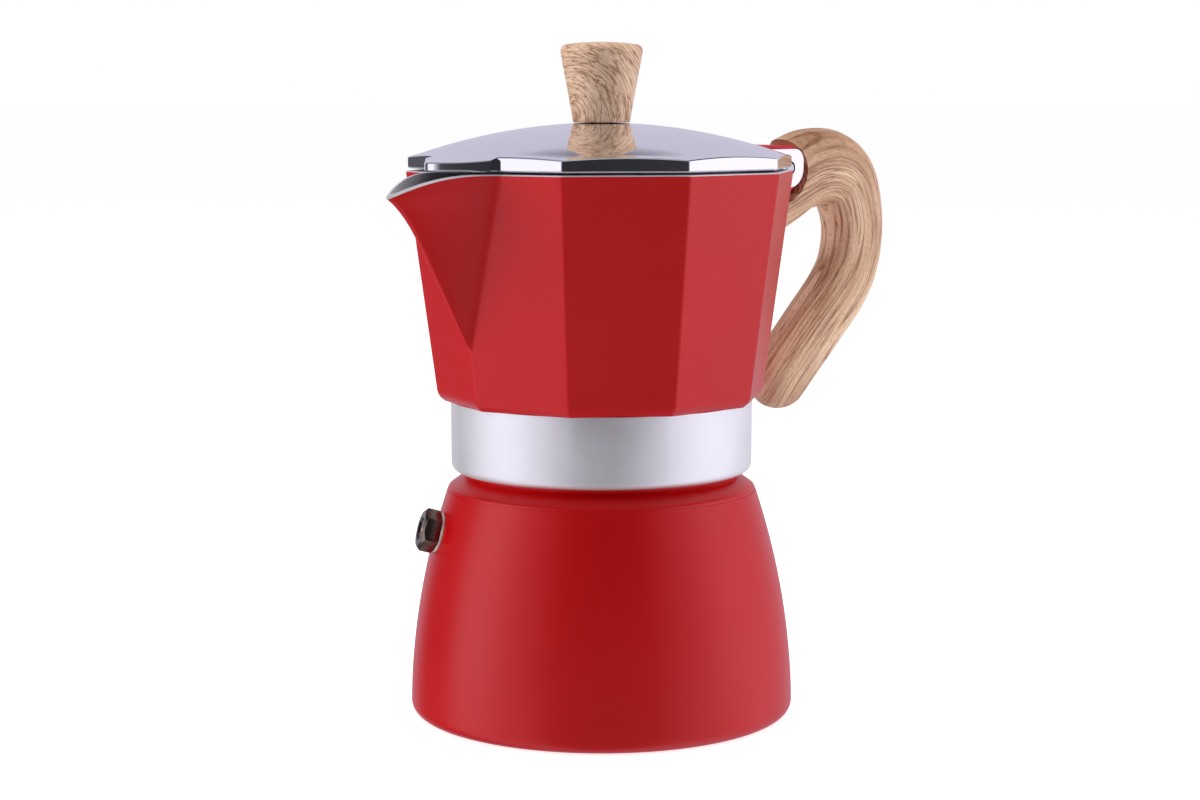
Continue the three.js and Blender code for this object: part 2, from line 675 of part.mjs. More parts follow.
function lidShell() {
  const dome = (drop, steps) => Array.from({ length: steps + 1 }, (_, i) => {
    const r = (LID_R + 2) * i / steps;
    return [r, domeHeight(r) - drop];
  });
  const prism = (r, low, high) => lathe([[0, low], [r, low], [r, high], [0, high]], SIDES);
  const under = (points, low) => lathe([...points, [LID_R + 2, low], [0, low]], ROUND);
  const outer = under(dome(0, 6), LID_Z).intersect(prism(LID_R, LID_Z, FAR));
  const innerR = LID_R - LID_SHEET / FACET_SHARE;
  const inner = under(dome(LID_SHEET, 4), LID_Z - 1).intersect(prism(innerR, LID_Z - 1, FAR));
  return cut(outer, inner);
}

// The tongue that covers the spout.
function lidBeak() {
  const shape = new THREE.Shape();
  const root = -LID_R + 6;
  const tip = -LID_R - BEAK_OUT;
  shape.moveTo(root, -BEAK_HALF);
  shape.lineTo(-LID_R * FACET_SHARE, -BEAK_HALF);
  shape.bezierCurveTo(tip + 3, -BEAK_HALF + 1.5, tip, -BEAK_HALF / 2.5, tip, 0);
  shape.bezierCurveTo(tip, BEAK_HALF / 2.5, tip + 3, BEAK_HALF - 1.5, -LID_R * FACET_SHARE, BEAK_HALF);
  shape.lineTo(root, BEAK_HALF);
  const settings = { depth: BEAK_THICK, bevelEnabled: false, curveSegments: 6 };
  return solid(new THREE.ExtrudeGeometry(shape, settings).translate(0, 0, LID_Z + GAP));
}

function lidEar(side) {
  const shape = new THREE.Shape();
  const top = LID_Z + EAR_RISE;
  shape.moveTo(notchX - 2, LID_Z);
  shape.lineTo(PIN_X - EAR_R, LID_Z);
  shape.absarc(PIN_X, PIN_Z, EAR_R, Math.PI, 2 * Math.PI, false);
  shape.lineTo(PIN_X + EAR_R, top - 2.4);
  shape.quadraticCurveTo(PIN_X + EAR_R - 0.3, top, PIN_X + EAR_R - 3, top);
  shape.lineTo(notchX - 2, top);
  return slabXZ(shape, EAR_THICK / 2).translate(0, side * (earLow + earHigh) / 2, 0);
}

function makeLid() {
  const notch = box(notchX, FAR, earLow, LID_Z - 1, FAR);
  const screwHole = rod(SCREW_R + GAP, LID_Z, FAR);
  const bore = crossRod(PIN_R + GAP, FAR, PIN_X, PIN_Z);
  return cut(union(cut(lidShell(), notch), lidBeak(), lidEar(1), lidEar(-1)), screwHole, bore);
}

addPiece('lid', makeLid(), polished);

// ---------------------------------------------------------------- knob and its fastening

const KNOB_Z = DOME_Z + GAP;
const lidUnder = DOME_Z - LID_SHEET;

function makeKnob() {
  const top = KNOB_Z + KNOB_HEIGHT;
  const outside = lathe([
    [0, KNOB_Z], [KNOB_FOOT_R - 0.5, KNOB_Z], [KNOB_FOOT_R, KNOB_Z + 0.5],
    ...fillet(KNOB_TOP_R - KNOB_ROUNDING, top - KNOB_ROUNDING, KNOB_ROUNDING, 10, 80, 3),
    [0, top + 0.4],
  ], ROUND / 2 + 8);
  return cut(outside, rod(INSERT_R + GAP, KNOB_Z - 1, KNOB_Z + INSERT_LENGTH + GAP));
}

const washer = (top) => tube(SCREW_R + GAP, WASHER_R, top - WASHER_THICK, top);

// A pan-head screw pointing up, with its head's top at z.
function makeScrew(z, tip) {
  const head = lathe([
    [0, z - SCREW_HEAD], [SCREW_HEAD_R - 0.8, z - SCREW_HEAD],
    [SCREW_HEAD_R, z - SCREW_HEAD + 0.8], [SCREW_HEAD_R, z], [0, z],
  ], SMALL_ROUND);
  const slot = box(-FAR, FAR, 0.5, z - FAR, z - SCREW_HEAD + 0.8);
  return cut(union(head, rod(SCREW_R, z - 0.5, tip)), slot);
}

addPiece('knob', makeKnob(), wood);
addPiece('knob_insert', tube(SCREW_R + GAP, INSERT_R, KNOB_Z, KNOB_Z + INSERT_LENGTH), brass);
const knobWasherTop = lidUnder - GAP;
addPiece('knob_washer', washer(knobWasherTop), steel);
addPiece('knob_screw', makeScrew(knobWasherTop - WASHER_THICK - GAP, KNOB_Z + INSERT_LENGTH - 1), steel);

// ---------------------------------------------------------------- handle and its fastening

const ledgeLow = PIN_Z + TANG_LOW - GAP - SCREW_LEDGE;

function handleSection(centre, along, halfThick, halfWidth) {
  const across = new THREE.Vector3(-along.z, 0, along.x);
  return Array.from({ length: SMALL_ROUND }, (_, i) => {
    const angle = 2 * Math.PI * i / SMALL_ROUND;
    const bulge = (value) => Math.sign(value) * Math.abs(value) ** (2 / HANDLE_SQUARENESS);
    const side = new THREE.Vector3(0, halfWidth * bulge(Math.cos(angle)), 0);
    return centre.clone().addScaledVector(across, halfThick * bulge(Math.sin(angle))).add(side);
  });
}

function handleSweep() {
  const points = HANDLE_PATH.map(([x, z]) => new THREE.Vector3(PIN_X + x, 0, PIN_Z + z));
  const path = new THREE.CatmullRomCurve3(points);
  const thickness = new THREE.SplineCurve(HANDLE_PATH.map(([, , half], i) => new THREE.Vector2(i, half)));
  const steps = 2 * HANDLE_PATH.length;
  const sections = Array.from({ length: steps + 1 }, (_, i) => {
    const t = i / steps;
    return handleSection(path.getPoint(t), path.getTangent(t), thickness.getPoint(t).y, HANDLE_HALF);
  });
  const [end, along, endHalf] = [path.getPoint(1), path.getTangent(1), thickness.getPoint(1).y];
  for (const degrees of [30, 55, 75]) {
    const angle = THREE.MathUtils.degToRad(degrees);
    const centre = end.clone().addScaledVector(along, endHalf * Math.sin(angle));
    sections.push(handleSection(centre, along, endHalf * Math.cos(angle), HANDLE_HALF * Math.cos(angle)));
  }
  return loft(sections);
}

function makeHandle() {
  const recess = union(
    crossRod(RECESS_R, FAR, PIN_X, PIN_Z, ROUND / 2),
    box(0, PIN_X, FAR, PIN_Z - RECESS_R, FAR),
  );
  const socket = box(
    PIN_X, PIN_X + TANG_REACH + GAP, TANG_HALF + GAP,
    PIN_Z + TANG_LOW - GAP, PIN_Z + TANG_HIGH + GAP,
  );
  const screwHole = rod(SCREW_R + GAP, PIN_Z - FAR, PIN_Z).translate(PIN_X + SCREW_OUT, 0, 0);
  const counterbore = rod(WASHER_R + GAP, PIN_Z - RECESS_R - 20, ledgeLow).translate(PIN_X + SCREW_OUT, 0, 0);
  return cut(handleSweep(), recess, jugBody(TOE_GAP), socket, screwHole, counterbore);
}

const handleWasherTop = ledgeLow - GAP;
const fastening = new THREE.Group();
fastening.position.set(PIN_X + SCREW_OUT, 0, 0);
mokaPot.add(fastening);
addPiece('handle', makeHandle(), wood);
addPiece('handle_washer', washer(handleWasherTop), steel, fastening);
const handleScrew = makeScrew(handleWasherTop - WASHER_THICK - GAP, PIN_Z + TANG_HIGH - 2.5);
addPiece('handle_screw', handleScrew, steel, fastening);

export default mokaPot;
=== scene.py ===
import json
import math
import bpy
from mathutils import Matrix, Vector


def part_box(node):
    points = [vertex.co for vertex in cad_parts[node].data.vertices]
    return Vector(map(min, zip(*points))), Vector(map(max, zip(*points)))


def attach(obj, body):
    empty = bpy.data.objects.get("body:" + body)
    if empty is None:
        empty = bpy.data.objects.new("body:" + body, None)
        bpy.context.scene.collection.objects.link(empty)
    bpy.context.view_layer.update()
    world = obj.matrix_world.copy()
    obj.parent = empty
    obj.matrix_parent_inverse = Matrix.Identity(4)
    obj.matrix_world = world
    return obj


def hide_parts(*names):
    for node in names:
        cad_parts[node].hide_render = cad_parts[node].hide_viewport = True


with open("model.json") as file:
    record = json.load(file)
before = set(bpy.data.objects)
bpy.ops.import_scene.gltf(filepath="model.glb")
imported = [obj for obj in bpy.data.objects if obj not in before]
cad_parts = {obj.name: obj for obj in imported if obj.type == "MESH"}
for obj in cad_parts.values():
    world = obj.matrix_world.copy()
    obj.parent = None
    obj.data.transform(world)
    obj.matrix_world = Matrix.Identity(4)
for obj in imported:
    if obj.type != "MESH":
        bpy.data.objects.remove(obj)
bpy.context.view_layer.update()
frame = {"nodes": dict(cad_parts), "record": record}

# A stovetop moka pot. Sizes are in millimetres in the CAD model's frame: the pot's axis is Z, the spout
# points along -X and the handle along +X.

MM = 0.001
MERGE = 0.002 * MM                # points closer than this are one point
SCENE = bpy.context.scene
BOILER, JUG, LID, PLUNGER = "boiler_body", "jug_body", "lid_body", "plunger_body"

# ---------------------------------------------------------------- sizes from the frame


def low(node):
    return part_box(node)[0] / MM


def high(node):
    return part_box(node)[1] / MM


def joint(name):
    return next(j for j in frame["record"]["behaviour"]["joints"] if j["name"] == name)


PIN = Vector(joint("lid_hinge")["pos_m"]) / MM
BASE_R = high("boiler").x
NECK_TOP = high("boiler").z
COLLAR_Z = low("upper_chamber").z
SPOUT_TIP = -low("upper_chamber").x
LUG_TOP = high("upper_chamber").z
DOME_Z = high("lid").z
KNOB_Z = low("knob").z
KNOB_TOP = high("knob").z
COLUMN_TOP = high("riser_column").z
COLUMN_R = high("riser_column").x

# ---------------------------------------------------------------- sizes of the finished surfaces

SHOULDER_R, SHOULDER_Z, SHOULDER_ROUND = 36.0, 53.3, 1.1
BOILER_FOOT_ROUND, NECK_BEAD = 3.0, 0.9
NECK_R, NECK_BORE = 31.6, 27.2
BOILER_WALL, BOILER_FLOOR = 3.0, 4.0
ENAMEL = 0.12                     # thickness of the red coat
THREAD_PITCH, THREAD_CREST = 3.0, 32.5
COLLAR_R, COLLAR_BORE = 35.2, 32.8
JUG_Z, JUG_FOOT_Z, RIM_Z = 73.8, 77.2, 127.3
JUG_FOOT_R, JUG_RIM_R = 38.64, 45.33       # over the corners
JUG_WALL, FLOOR_Z = 2.4, 76.8
SIDES = 10
CORNER_ROUND = 1.4
SPOUT_FOOT_Z = RIM_Z - 39.8
SPOUT_HALF = 11.75                # half-width of the spout where it leaves the rim
SPOUT_WALL = 1.6
SPOUT_DROP = 5.1
LIP_Z = 127.05                    # the bare rim, a little under the lid
KEEL_RUN, KEEL_RISE = 13.0, 22.5
LID_Z, LID_R, LID_BULGE = 127.6, 44.8, 0.004
LID_SHEET = 1.6
BEAK_TIP, BEAK_HALF, BEAK_Z = 51.6, 10.8, 129.65
BEAK_ROUND, BEAK_TAPER = 2.0, 0.9           # the tongue's plan: a rounded tip and straight flanks
GAP, EAR_GAP = 0.3, 0.2            # clearance between pieces, and of the ears on the pin
PIN_R = 1.5
SCREW_R, SCREW_HEAD = 1.75, 2.0
SCREW_HOLE_R = SCREW_R + GAP
LUG_HALF, LUG_R, RECESS_R = 5.9, 6.6, 8.7
TANG_HALF, TANG_LOW, TANG_HIGH = 3.5, -5.6, 3.4      # half-width, and heights from the pin
EAR_IN, EAR_OUT, EAR_R = 6.3, 8.8, 4.7
EAR_RISE, EAR_ROUND = 3.6, 2.9
KNOB_FOOT_R, KNOB_HEAD_R = 6.64, 9.5
INSERT_HOLE_R, INSERT_HOLE = 3.7, 9.3
HANDLE_HALF = 6.8
COUNTERBORE_R, COUNTERBORE = 4.3, 14.0
VALVE_Z, VALVE_ROLL, VALVE_FLATS = 43.5, 10, 8.8
VALVE_HEX_LOW, VALVE_HEX_HIGH = 0.5, 4.2             # heights here are from the boiler's wall
VALVE_SHANK_R, VALVE_SHANK_END = 3.6, -5.5
VALVE_BORE, VALVE_SEAT_BORE, VALVE_SEAT = 2.6, 1.5, -3.9


# ---------------------------------------------------------------- modelling helpers


def deselect():
    if bpy.context.mode != "OBJECT":
        bpy.ops.object.mode_set(mode="OBJECT")
    bpy.ops.object.select_all(action="DESELECT")


def pick(piece):
    deselect()
    piece.select_set(True)
    bpy.context.view_layer.objects.active = piece
    return piece


def settle(piece):
    """Puts the piece's place, turn and size into its mesh."""
    pick(piece)
    bpy.ops.object.transform_apply(location=True, rotation=True, scale=True)
    return piece


def tidy_mesh(piece):
    """Merges doubles and turns every face outwards."""
    pick(piece)
    bpy.ops.object.mode_set(mode="EDIT")
    bpy.ops.mesh.select_all(action="SELECT")
    bpy.ops.mesh.remove_doubles(threshold=MERGE)
    bpy.ops.mesh.normals_make_consistent(inside=False)
    bpy.ops.object.mode_set(mode="OBJECT")
    return piece


def close_ends(piece):
    """Fills the open rings at the ends of a tube."""
    pick(piece)
    bpy.ops.object.mode_set(mode="EDIT")
    bpy.ops.mesh.select_mode(type="EDGE")
    bpy.ops.mesh.select_all(action="DESELECT")
    bpy.ops.mesh.select_non_manifold()
    bpy.ops.mesh.edge_face_add()
    return tidy_mesh(piece)


def apply_all(piece):
    pick(piece)
    for modifier in list(piece.modifiers):
        bpy.ops.object.modifier_apply(modifier=modifier.name)
    return piece


def soften(piece, width, segments=3, angle=28):
    """Rounds every edge sharper than angle degrees."""
    bevel = piece.modifiers.new("edges", "BEVEL")
    bevel.width, bevel.segments = width * MM, segments
    bevel.limit_method, bevel.angle_limit = "ANGLE", math.radians(angle)
    return apply_all(piece)


def smooth(piece, angle=30):
    pick(piece)
    bpy.ops.object.shade_smooth_by_angle(angle=math.radians(angle))
    return piece


def combine(piece, other, operation):
    """Joins other to piece or cuts it out, and removes other."""
    boolean = piece.modifiers.new("combine", "BOOLEAN")
    boolean.operation, boolean.object, boolean.solver = operation, other, "EXACT"
    apply_all(piece)
    bpy.data.objects.remove(other)
    return piece


def outline_wire(points):
    """One vertex pushed through the points in edit mode, as a wire in the X-Z plane."""
    deselect()
    bpy.ops.mesh.primitive_plane_add(size=MM, location=(points[0][0] * MM, 0, points[0][1] * MM))
    bpy.ops.object.transform_apply(location=True, rotation=True, scale=True)
    bpy.ops.object.mode_set(mode="EDIT")
    bpy.ops.mesh.select_mode(type="VERT")
    bpy.ops.mesh.select_all(action="SELECT")
    bpy.ops.mesh.merge(type="CENTER")
    for (x0, z0), (x1, z1) in zip(points, points[1:]):
        move = ((x1 - x0) * MM, 0, (z1 - z0) * MM)
        bpy.ops.mesh.extrude_region_move(TRANSFORM_OT_translate={"value": move})
    return bpy.context.object


def turned(name, points, facets=96, place=None):
    """A piece spun about Z from (radius, height) points that start and end on the axis or close up."""
    piece = outline_wire(points)
    piece.name = name
    bpy.ops.mesh.select_all(action="SELECT")
    bpy.ops.mesh.spin(steps=facets, angle=2 * math.pi, center=(0, 0, 0), axis=(0, 0, 1))
    bpy.ops.object.mode_set(mode="OBJECT")
    if place:
        piece.matrix_world = place
        settle(piece)
    return tidy_mesh(piece)


def slab(name, points, low_y, high_y):
    """An outline in the X-Z plane, closed and pulled out along Y."""
    piece = outline_wire(list(points) + [points[0]])
    piece.name = name
    bpy.ops.mesh.select_all(action="SELECT")
    bpy.ops.mesh.remove_doubles(threshold=MERGE)
    bpy.ops.transform.translate(value=(0, low_y * MM, 0))
    bpy.ops.mesh.edge_face_add()
    bpy.ops.mesh.extrude_region_move(TRANSFORM_OT_translate={"value": (0, (high_y - low_y) * MM, 0)})
    bpy.ops.object.mode_set(mode="OBJECT")
    return tidy_mesh(piece)


def skin(name, columns, rows, place, around=True, along=False):
    """A grid whose point (column, row) goes to place(column, row); it closes on itself as asked."""
    deselect()
    bpy.ops.mesh.primitive_grid_add(x_subdivisions=columns, y_subdivisions=rows, size=1)
    piece = bpy.context.object
    piece.name = name
    for vertex in piece.data.vertices:
        column = round((vertex.co.x + 0.5) * columns)
        row = round((vertex.co.y + 0.5) * rows)
        if around:
            column %= columns
        if along:
            row %= rows
        vertex.co = Vector(place(column, row)) * MM
    return tidy_mesh(piece)


def rod(name, r, start, end, facets=32):
    """A plain round bar between two points, for cutting holes."""
    start, end = Vector(start) * MM, Vector(end) * MM
    deselect()
    turn = (end - start).to_track_quat("Z", "Y").to_euler()
    bpy.ops.mesh.primitive_cylinder_add(
        vertices=facets, radius=r * MM, depth=(end - start).length, location=(start + end) / 2, rotation=turn)
    piece = bpy.context.object
    piece.name = name
    return settle(piece)


def block(name, low_corner, high_corner):
    lo, hi = Vector(low_corner) * MM, Vector(high_corner) * MM
    deselect()
    bpy.ops.mesh.primitive_cube_add(size=1, location=(lo + hi) / 2, scale=hi - lo)
    piece = bpy.context.object
    piece.name = name
    return settle(piece)


def arc(x, z, r, start, end, steps=6):
    """Points on a round corner, angles in degrees."""
    angles = [math.radians(start + (end - start) * i / steps) for i in range(steps + 1)]
    return [(x + r * math.cos(a), z + r * math.sin(a)) for a in angles]


def hand_over(piece, body, slot, material, *nodes):
    """Gives a finished piece its material and its body, and hides the CAD nodes that it stands for."""
    piece.data.materials.clear()
    piece.data.materials.append(material)
    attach(piece, body)
    if nodes:
        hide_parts(*nodes)
    return piece


# ---------------------------------------------------------------- materials


def new_material(name):
    material = bpy.data.materials.new(name)
    material.use_nodes = True
    return material, material.node_tree.nodes, material.node_tree.links


def shader(nodes, **sockets):
    bsdf = nodes["Principled BSDF"]
    for name, value in sockets.items():
        bsdf.inputs[name.replace("_", " ").title().replace("Ior", "IOR")].default_value = value
    return bsdf


def group_tree(name, inputs, outputs):
    """A node group with named sockets, given as (name, type, default)."""
    tree = bpy.data.node_groups.new(name, "ShaderNodeTree")
    for socket, kind, default in inputs:
        made = tree.interface.new_socket(name=socket, in_out="INPUT", socket_type=kind)
        if default is not None:
            made.default_value = default
    for socket, kind in outputs:
        tree.interface.new_socket(name=socket, in_out="OUTPUT", socket_type=kind)
    return tree, tree.nodes.new("NodeGroupInput"), tree.nodes.new("NodeGroupOutput")


def surface_finish_group():
    """Fine pits, slow colour drift and smudges: what a coated or cast surface has."""
    tree, into, out = group_tree(
        "surface_finish",
        [("Grain Size", "NodeSocketFloat", 900.0), ("Drift Size", "NodeSocketFloat", 40.0),
         ("Drift Low", "NodeSocketFloat", 0.94), ("Drift High", "NodeSocketFloat", 1.04),
         ("Rough Low", "NodeSocketFloat", 0.3), ("Rough High", "NodeSocketFloat", 0.4),
         ("Bump", "NodeSocketFloat", 0.1), ("Bump Depth", "NodeSocketFloat", 0.00005)],
        [("Shade", "NodeSocketFloat"), ("Roughness", "NodeSocketFloat"), ("Normal", "NodeSocketVector")])
    nodes, links = tree.nodes, tree.links
    where = nodes.new("ShaderNodeTexCoord")
    grain, drift = nodes.new("ShaderNodeTexNoise"), nodes.new("ShaderNodeTexNoise")
    drift.inputs["Detail"].default_value = 4
    shade, rough = nodes.new("ShaderNodeMapRange"), nodes.new("ShaderNodeMapRange")
    bump = nodes.new("ShaderNodeBump")
    for noise, size in ((grain, "Grain Size"), (drift, "Drift Size")):
        links.new(where.outputs["Object"], noise.inputs["Vector"])
        links.new(into.outputs[size], noise.inputs["Scale"])
    spreads = (shade, "Drift Low", "Drift High"), (rough, "Rough Low", "Rough High")
    for spread, low_name, high_name in spreads:
        spread.inputs["From Min"].default_value, spread.inputs["From Max"].default_value = 0.3, 0.7
        links.new(drift.outputs["Fac"], spread.inputs["Value"])
        links.new(into.outputs[low_name], spread.inputs["To Min"])
        links.new(into.outputs[high_name], spread.inputs["To Max"])
    links.new(grain.outputs["Fac"], bump.inputs["Height"])
    links.new(into.outputs["Bump"], bump.inputs["Strength"])
    links.new(into.outputs["Bump Depth"], bump.inputs["Distance"])
    links.new(shade.outputs["Result"], out.inputs["Shade"])
    links.new(rough.outputs["Result"], out.inputs["Roughness"])
    links.new(bump.outputs["Normal"], out.inputs["Normal"])
    return tree


SURFACE_FINISH = surface_finish_group()


def finish_material(name, colour, metallic, grain, drift, shade, rough, bump, **extra):
    """A coated or metal surface: one colour with the shared finish on it."""
    material, nodes, links = new_material(name)
    bsdf = shader(nodes, metallic=metallic, **extra)
    finish = nodes.new("ShaderNodeGroup")
    finish.node_tree = SURFACE_FINISH
    values = {"Grain Size": grain, "Drift Size": drift, "Drift Low": shade[0], "Drift High": shade[1],
              "Rough Low": rough[0], "Rough High": rough[1], "Bump": bump}
    for socket, value in values.items():
        finish.inputs[socket].default_value = value
    tint = nodes.new("ShaderNodeMix")
    tint.data_type, tint.blend_type = "RGBA", "MULTIPLY"
    tint.inputs["Factor"].default_value = 1
    tint.inputs["A"].default_value = (*colour, 1)
    links.new(finish.outputs["Shade"], tint.inputs["B"])
    links.new(tint.outputs["Result"], bsdf.inputs["Base Color"])
    links.new(finish.outputs["Roughness"], bsdf.inputs["Roughness"])
    links.new(finish.outputs["Normal"], bsdf.inputs["Normal"])
    return material


RED_ENAMEL = finish_material(
    "red_enamel", (0.53, 0.001, 0.002), 0.0, 2600, 22, (0.95, 1.05), (0.28, 0.34), 0.12,
    specular_ior_level=0.33)
CAST_ALUMINIUM = finish_material(
    "cast_aluminium", (0.90, 0.89, 0.91), 0.62, 1400, 60, (0.94, 1.03), (0.46, 0.56), 0.25)
TURNED_INSIDE = finish_material(
    "turned_aluminium", (0.66, 0.66, 0.68), 1.0, 700, 30, (0.88, 1.04), (0.30, 0.42), 0.3)
POLISHED = finish_material(
    "polished_aluminium", (0.86, 0.86, 0.88), 1.0, 300, 35, (0.98, 1.01), (0.04, 0.085), 0.02)
STEEL = finish_material("satin_steel", (0.60, 0.61, 0.63), 1.0, 1200, 80, (0.9, 1.05), (0.22, 0.34), 0.15)
DARK_STEEL = finish_material("dark_steel", (0.21, 0.165, 0.13), 1.0, 900, 220, (0.7, 1.3), (0.18, 0.34), 0.3)
BRASS = finish_material("satin_brass", (0.66, 0.46, 0.20), 1.0, 1000, 120, (0.9, 1.05), (0.2, 0.32), 0.15)
SILICONE = finish_material("silicone", (0.78, 0.76, 0.71), 0.0, 1500, 60, (0.96, 1.02), (0.55, 0.65), 0.1)


def wood_material(name, lines_per_mm, line_length, line_ramp, light, dark, pore_depth):
    """Wood print in the piece's "grain" map (metres, along the grain on X): a slow drift of tone, thin
    dark lines and fine pores."""
    material, nodes, links = new_material(name)
    bsdf = shader(nodes, coat_weight=0.1, coat_roughness=0.35)
    grain_map = nodes.new("ShaderNodeUVMap")
    grain_map.uv_map = "grain"

    def noise(per_mm, stretched, detail, distortion=0.0):
        mapping, texture = nodes.new("ShaderNodeMapping"), nodes.new("ShaderNodeTexNoise")
        mapping.inputs["Scale"].default_value = (1 / stretched, 1, 1)
        texture.inputs["Scale"].default_value = per_mm / MM
        texture.inputs["Detail"].default_value = detail
        texture.inputs["Distortion"].default_value = distortion
        links.new(grain_map.outputs["UV"], mapping.inputs["Vector"])
        links.new(mapping.outputs["Vector"], texture.inputs["Vector"])
        return texture.outputs["Fac"]

    def ramp(source, *stops):
        made = nodes.new("ShaderNodeValToRGB")
        made.color_ramp.elements[0].position, made.color_ramp.elements[0].color = stops[0]
        made.color_ramp.elements[1].position, made.color_ramp.elements[1].color = stops[-1]
        for position, colour in stops[1:-1]:
            made.color_ramp.elements.new(position).color = colour
        links.new(source, made.inputs["Fac"])
        return made.outputs["Color"]

    def multiplied(factor, first, second):
        made = nodes.new("ShaderNodeMix")
        made.data_type, made.blend_type = "RGBA", "MULTIPLY"
        made.inputs["Factor"].default_value = factor
        links.new(first, made.inputs["A"])
        links.new(second, made.inputs["B"])
        return made.outputs["Result"]

    white, line, beside = (1, 1, 1, 1), (0.42, 0.27, 0.19, 1), (0.80, 0.70, 0.62, 1)
    drift = noise(0.16, 6, 3, 0.4)
    lines, pores = noise(lines_per_mm, line_length, 3, 0.25), noise(3.2, 5, 2)
    tone = ramp(drift, (0.32, (*dark, 1)), (0.62, (*light, 1)))
    low_end, low_mid, high_mid, high_end = line_ramp
    thin = ramp(lines, (low_end, white), (low_mid, line), (high_mid, beside), (high_end, white))
    specks = ramp(pores, (0.36, (0.62, 0.50, 0.42, 1)), (0.54, white))
    links.new(multiplied(pore_depth, multiplied(1, tone, thin), specks), bsdf.inputs["Base Color"])
    rough = nodes.new("ShaderNodeMapRange")
    rough.inputs["To Min"].default_value, rough.inputs["To Max"].default_value = 0.40, 0.58
    links.new(pores, rough.inputs["Value"])
    links.new(rough.outputs["Result"], bsdf.inputs["Roughness"])
    bump = nodes.new("ShaderNodeBump")
    bump.inputs["Strength"].default_value, bump.inputs["Distance"].default_value = 0.25, 0.0001
    links.new(pores, bump.inputs["Height"])
    links.new(bump.outputs["Normal"], bsdf.inputs["Normal"])
    return material


HANDLE_WOOD = wood_material(
    "handle_wood", 0.62, 30, (0.41, 0.46, 0.485, 0.56), (0.86, 0.62, 0.43), (0.52, 0.30, 0.175), 0.55)
KNOB_WOOD = wood_material(
    "knob_wood", 0.95, 7, (0.43, 0.47, 0.50, 0.55), (0.93, 0.68, 0.49), (0.74, 0.48, 0.32), 0.7)

# ---------------------------------------------------------------- boiler


def boiler_radius(z):
    return BASE_R - (BASE_R - SHOULDER_R) * (z / SHOULDER_Z) ** 2


def wall_points(inset, start, end, steps):
    heights = [start + (end - start) * i / steps for i in range(steps + 1)]
    return [(boiler_radius(z) - inset, z) for z in heights]


def boiler_outside(inset):
    """The boiler's outer line from the foot's rounding up to the bead under the collar."""
    foot = boiler_radius(BOILER_FOOT_ROUND) - BOILER_FOOT_ROUND
    neck = NECK_R + NECK_BEAD
    return [
        *arc(foot, BOILER_FOOT_ROUND, BOILER_FOOT_ROUND - inset, -84, 0, 9),
        *wall_points(inset, BOILER_FOOT_ROUND + 1, SHOULDER_Z - 0.5, 30),
        *arc(SHOULDER_R - SHOULDER_ROUND - inset, SHOULDER_Z - 0.4, SHOULDER_ROUND, -5, 62, 6),
        (neck + 0.5 - inset, SHOULDER_Z + 2.3),
        (neck - 0.4 - inset, SHOULDER_Z + 2.9),
        *arc(neck - 0.55 - inset, SHOULDER_Z + 3.7, 0.55, -60, 80, 4),
    ]


def make_boiler():
    coat = boiler_outside(0)
    under = boiler_outside(ENAMEL)
    enamel = turned("boiler_enamel", coat + under[::-1] + coat[:1], 144)
    smooth(enamel)
    casting = turned("boiler_casting", [
        (0, 0.0), (under[0][0] - 1.6, 0.0), *under,
        (NECK_R, SHOULDER_Z + 4.5), (NECK_R, NECK_TOP), (NECK_BORE, NECK_TOP),
        (NECK_BORE, SHOULDER_Z), *wall_points(BOILER_WALL, SHOULDER_Z - 3, 7, 12),
        (boiler_radius(BOILER_FLOOR) - BOILER_WALL - 2.5, BOILER_FLOOR), (0, BOILER_FLOOR),
    ], 144)
    smooth(soften(casting, 0.35, 2, 50))
    return enamel, casting


def make_thread(name, root, crest, start_z, turns):
    """A right-handed ridge: its section pushed round a helix by the Screw modifier."""
    piece = outline_wire([(root, start_z - 0.8), (crest, start_z - 0.4), (crest, start_z + 0.4),
                          (root, start_z + 0.8), (root, start_z - 0.8)])
    piece.name = name
    bpy.ops.mesh.select_all(action="SELECT")
    bpy.ops.mesh.remove_doubles(threshold=MERGE)
    bpy.ops.object.mode_set(mode="OBJECT")
    screw = piece.modifiers.new("thread", "SCREW")
    screw.angle, screw.screw_offset = 2 * math.pi * turns, THREAD_PITCH * turns * MM
    screw.steps = screw.render_steps = round(72 * turns)
    screw.use_merge_vertices = False
    return smooth(close_ends(apply_all(piece)))


boiler_enamel, boiler_casting = make_boiler()
neck_thread = make_thread("neck_thread", NECK_R - 0.2, THREAD_CREST, SHOULDER_Z + 6.9, 1.6)
hand_over(boiler_enamel, BOILER, "red_enamel", RED_ENAMEL, "boiler")
hand_over(boiler_casting, BOILER, "bare_aluminium", CAST_ALUMINIUM)
hand_over(neck_thread, BOILER, "bare_aluminium", CAST_ALUMINIUM)

# ---------------------------------------------------------------- jug


def corner_share(angle, apothem, rounding):
    """Radius of a ten-sided outline with rounded corners on the X axis, at an angle in radians."""
    sector = 2 * math.pi / SIDES
    off = abs((angle + sector / 2) % sector - sector / 2)
    centre = (apothem - rounding) / math.cos(sector / 2)
    tangent = math.atan2(rounding * math.sin(sector / 2), centre + rounding * math.cos(sector / 2))
    if off > tangent:
        return apothem / math.cos(sector / 2 - off)
    return centre * math.cos(off) + math.sqrt(rounding ** 2 - (centre * math.sin(off)) ** 2)


def smooth_max(a, b, width):
    """The larger of two lengths, rounded over a width where they cross."""
    blend = max(width - abs(a - b), 0) / width
    return max(a, b) + blend * blend * width / 4


FACET_SHARE = math.cos(math.pi / SIDES)
LEAN = (JUG_RIM_R - JUG_FOOT_R) / (RIM_Z - JUG_FOOT_Z)


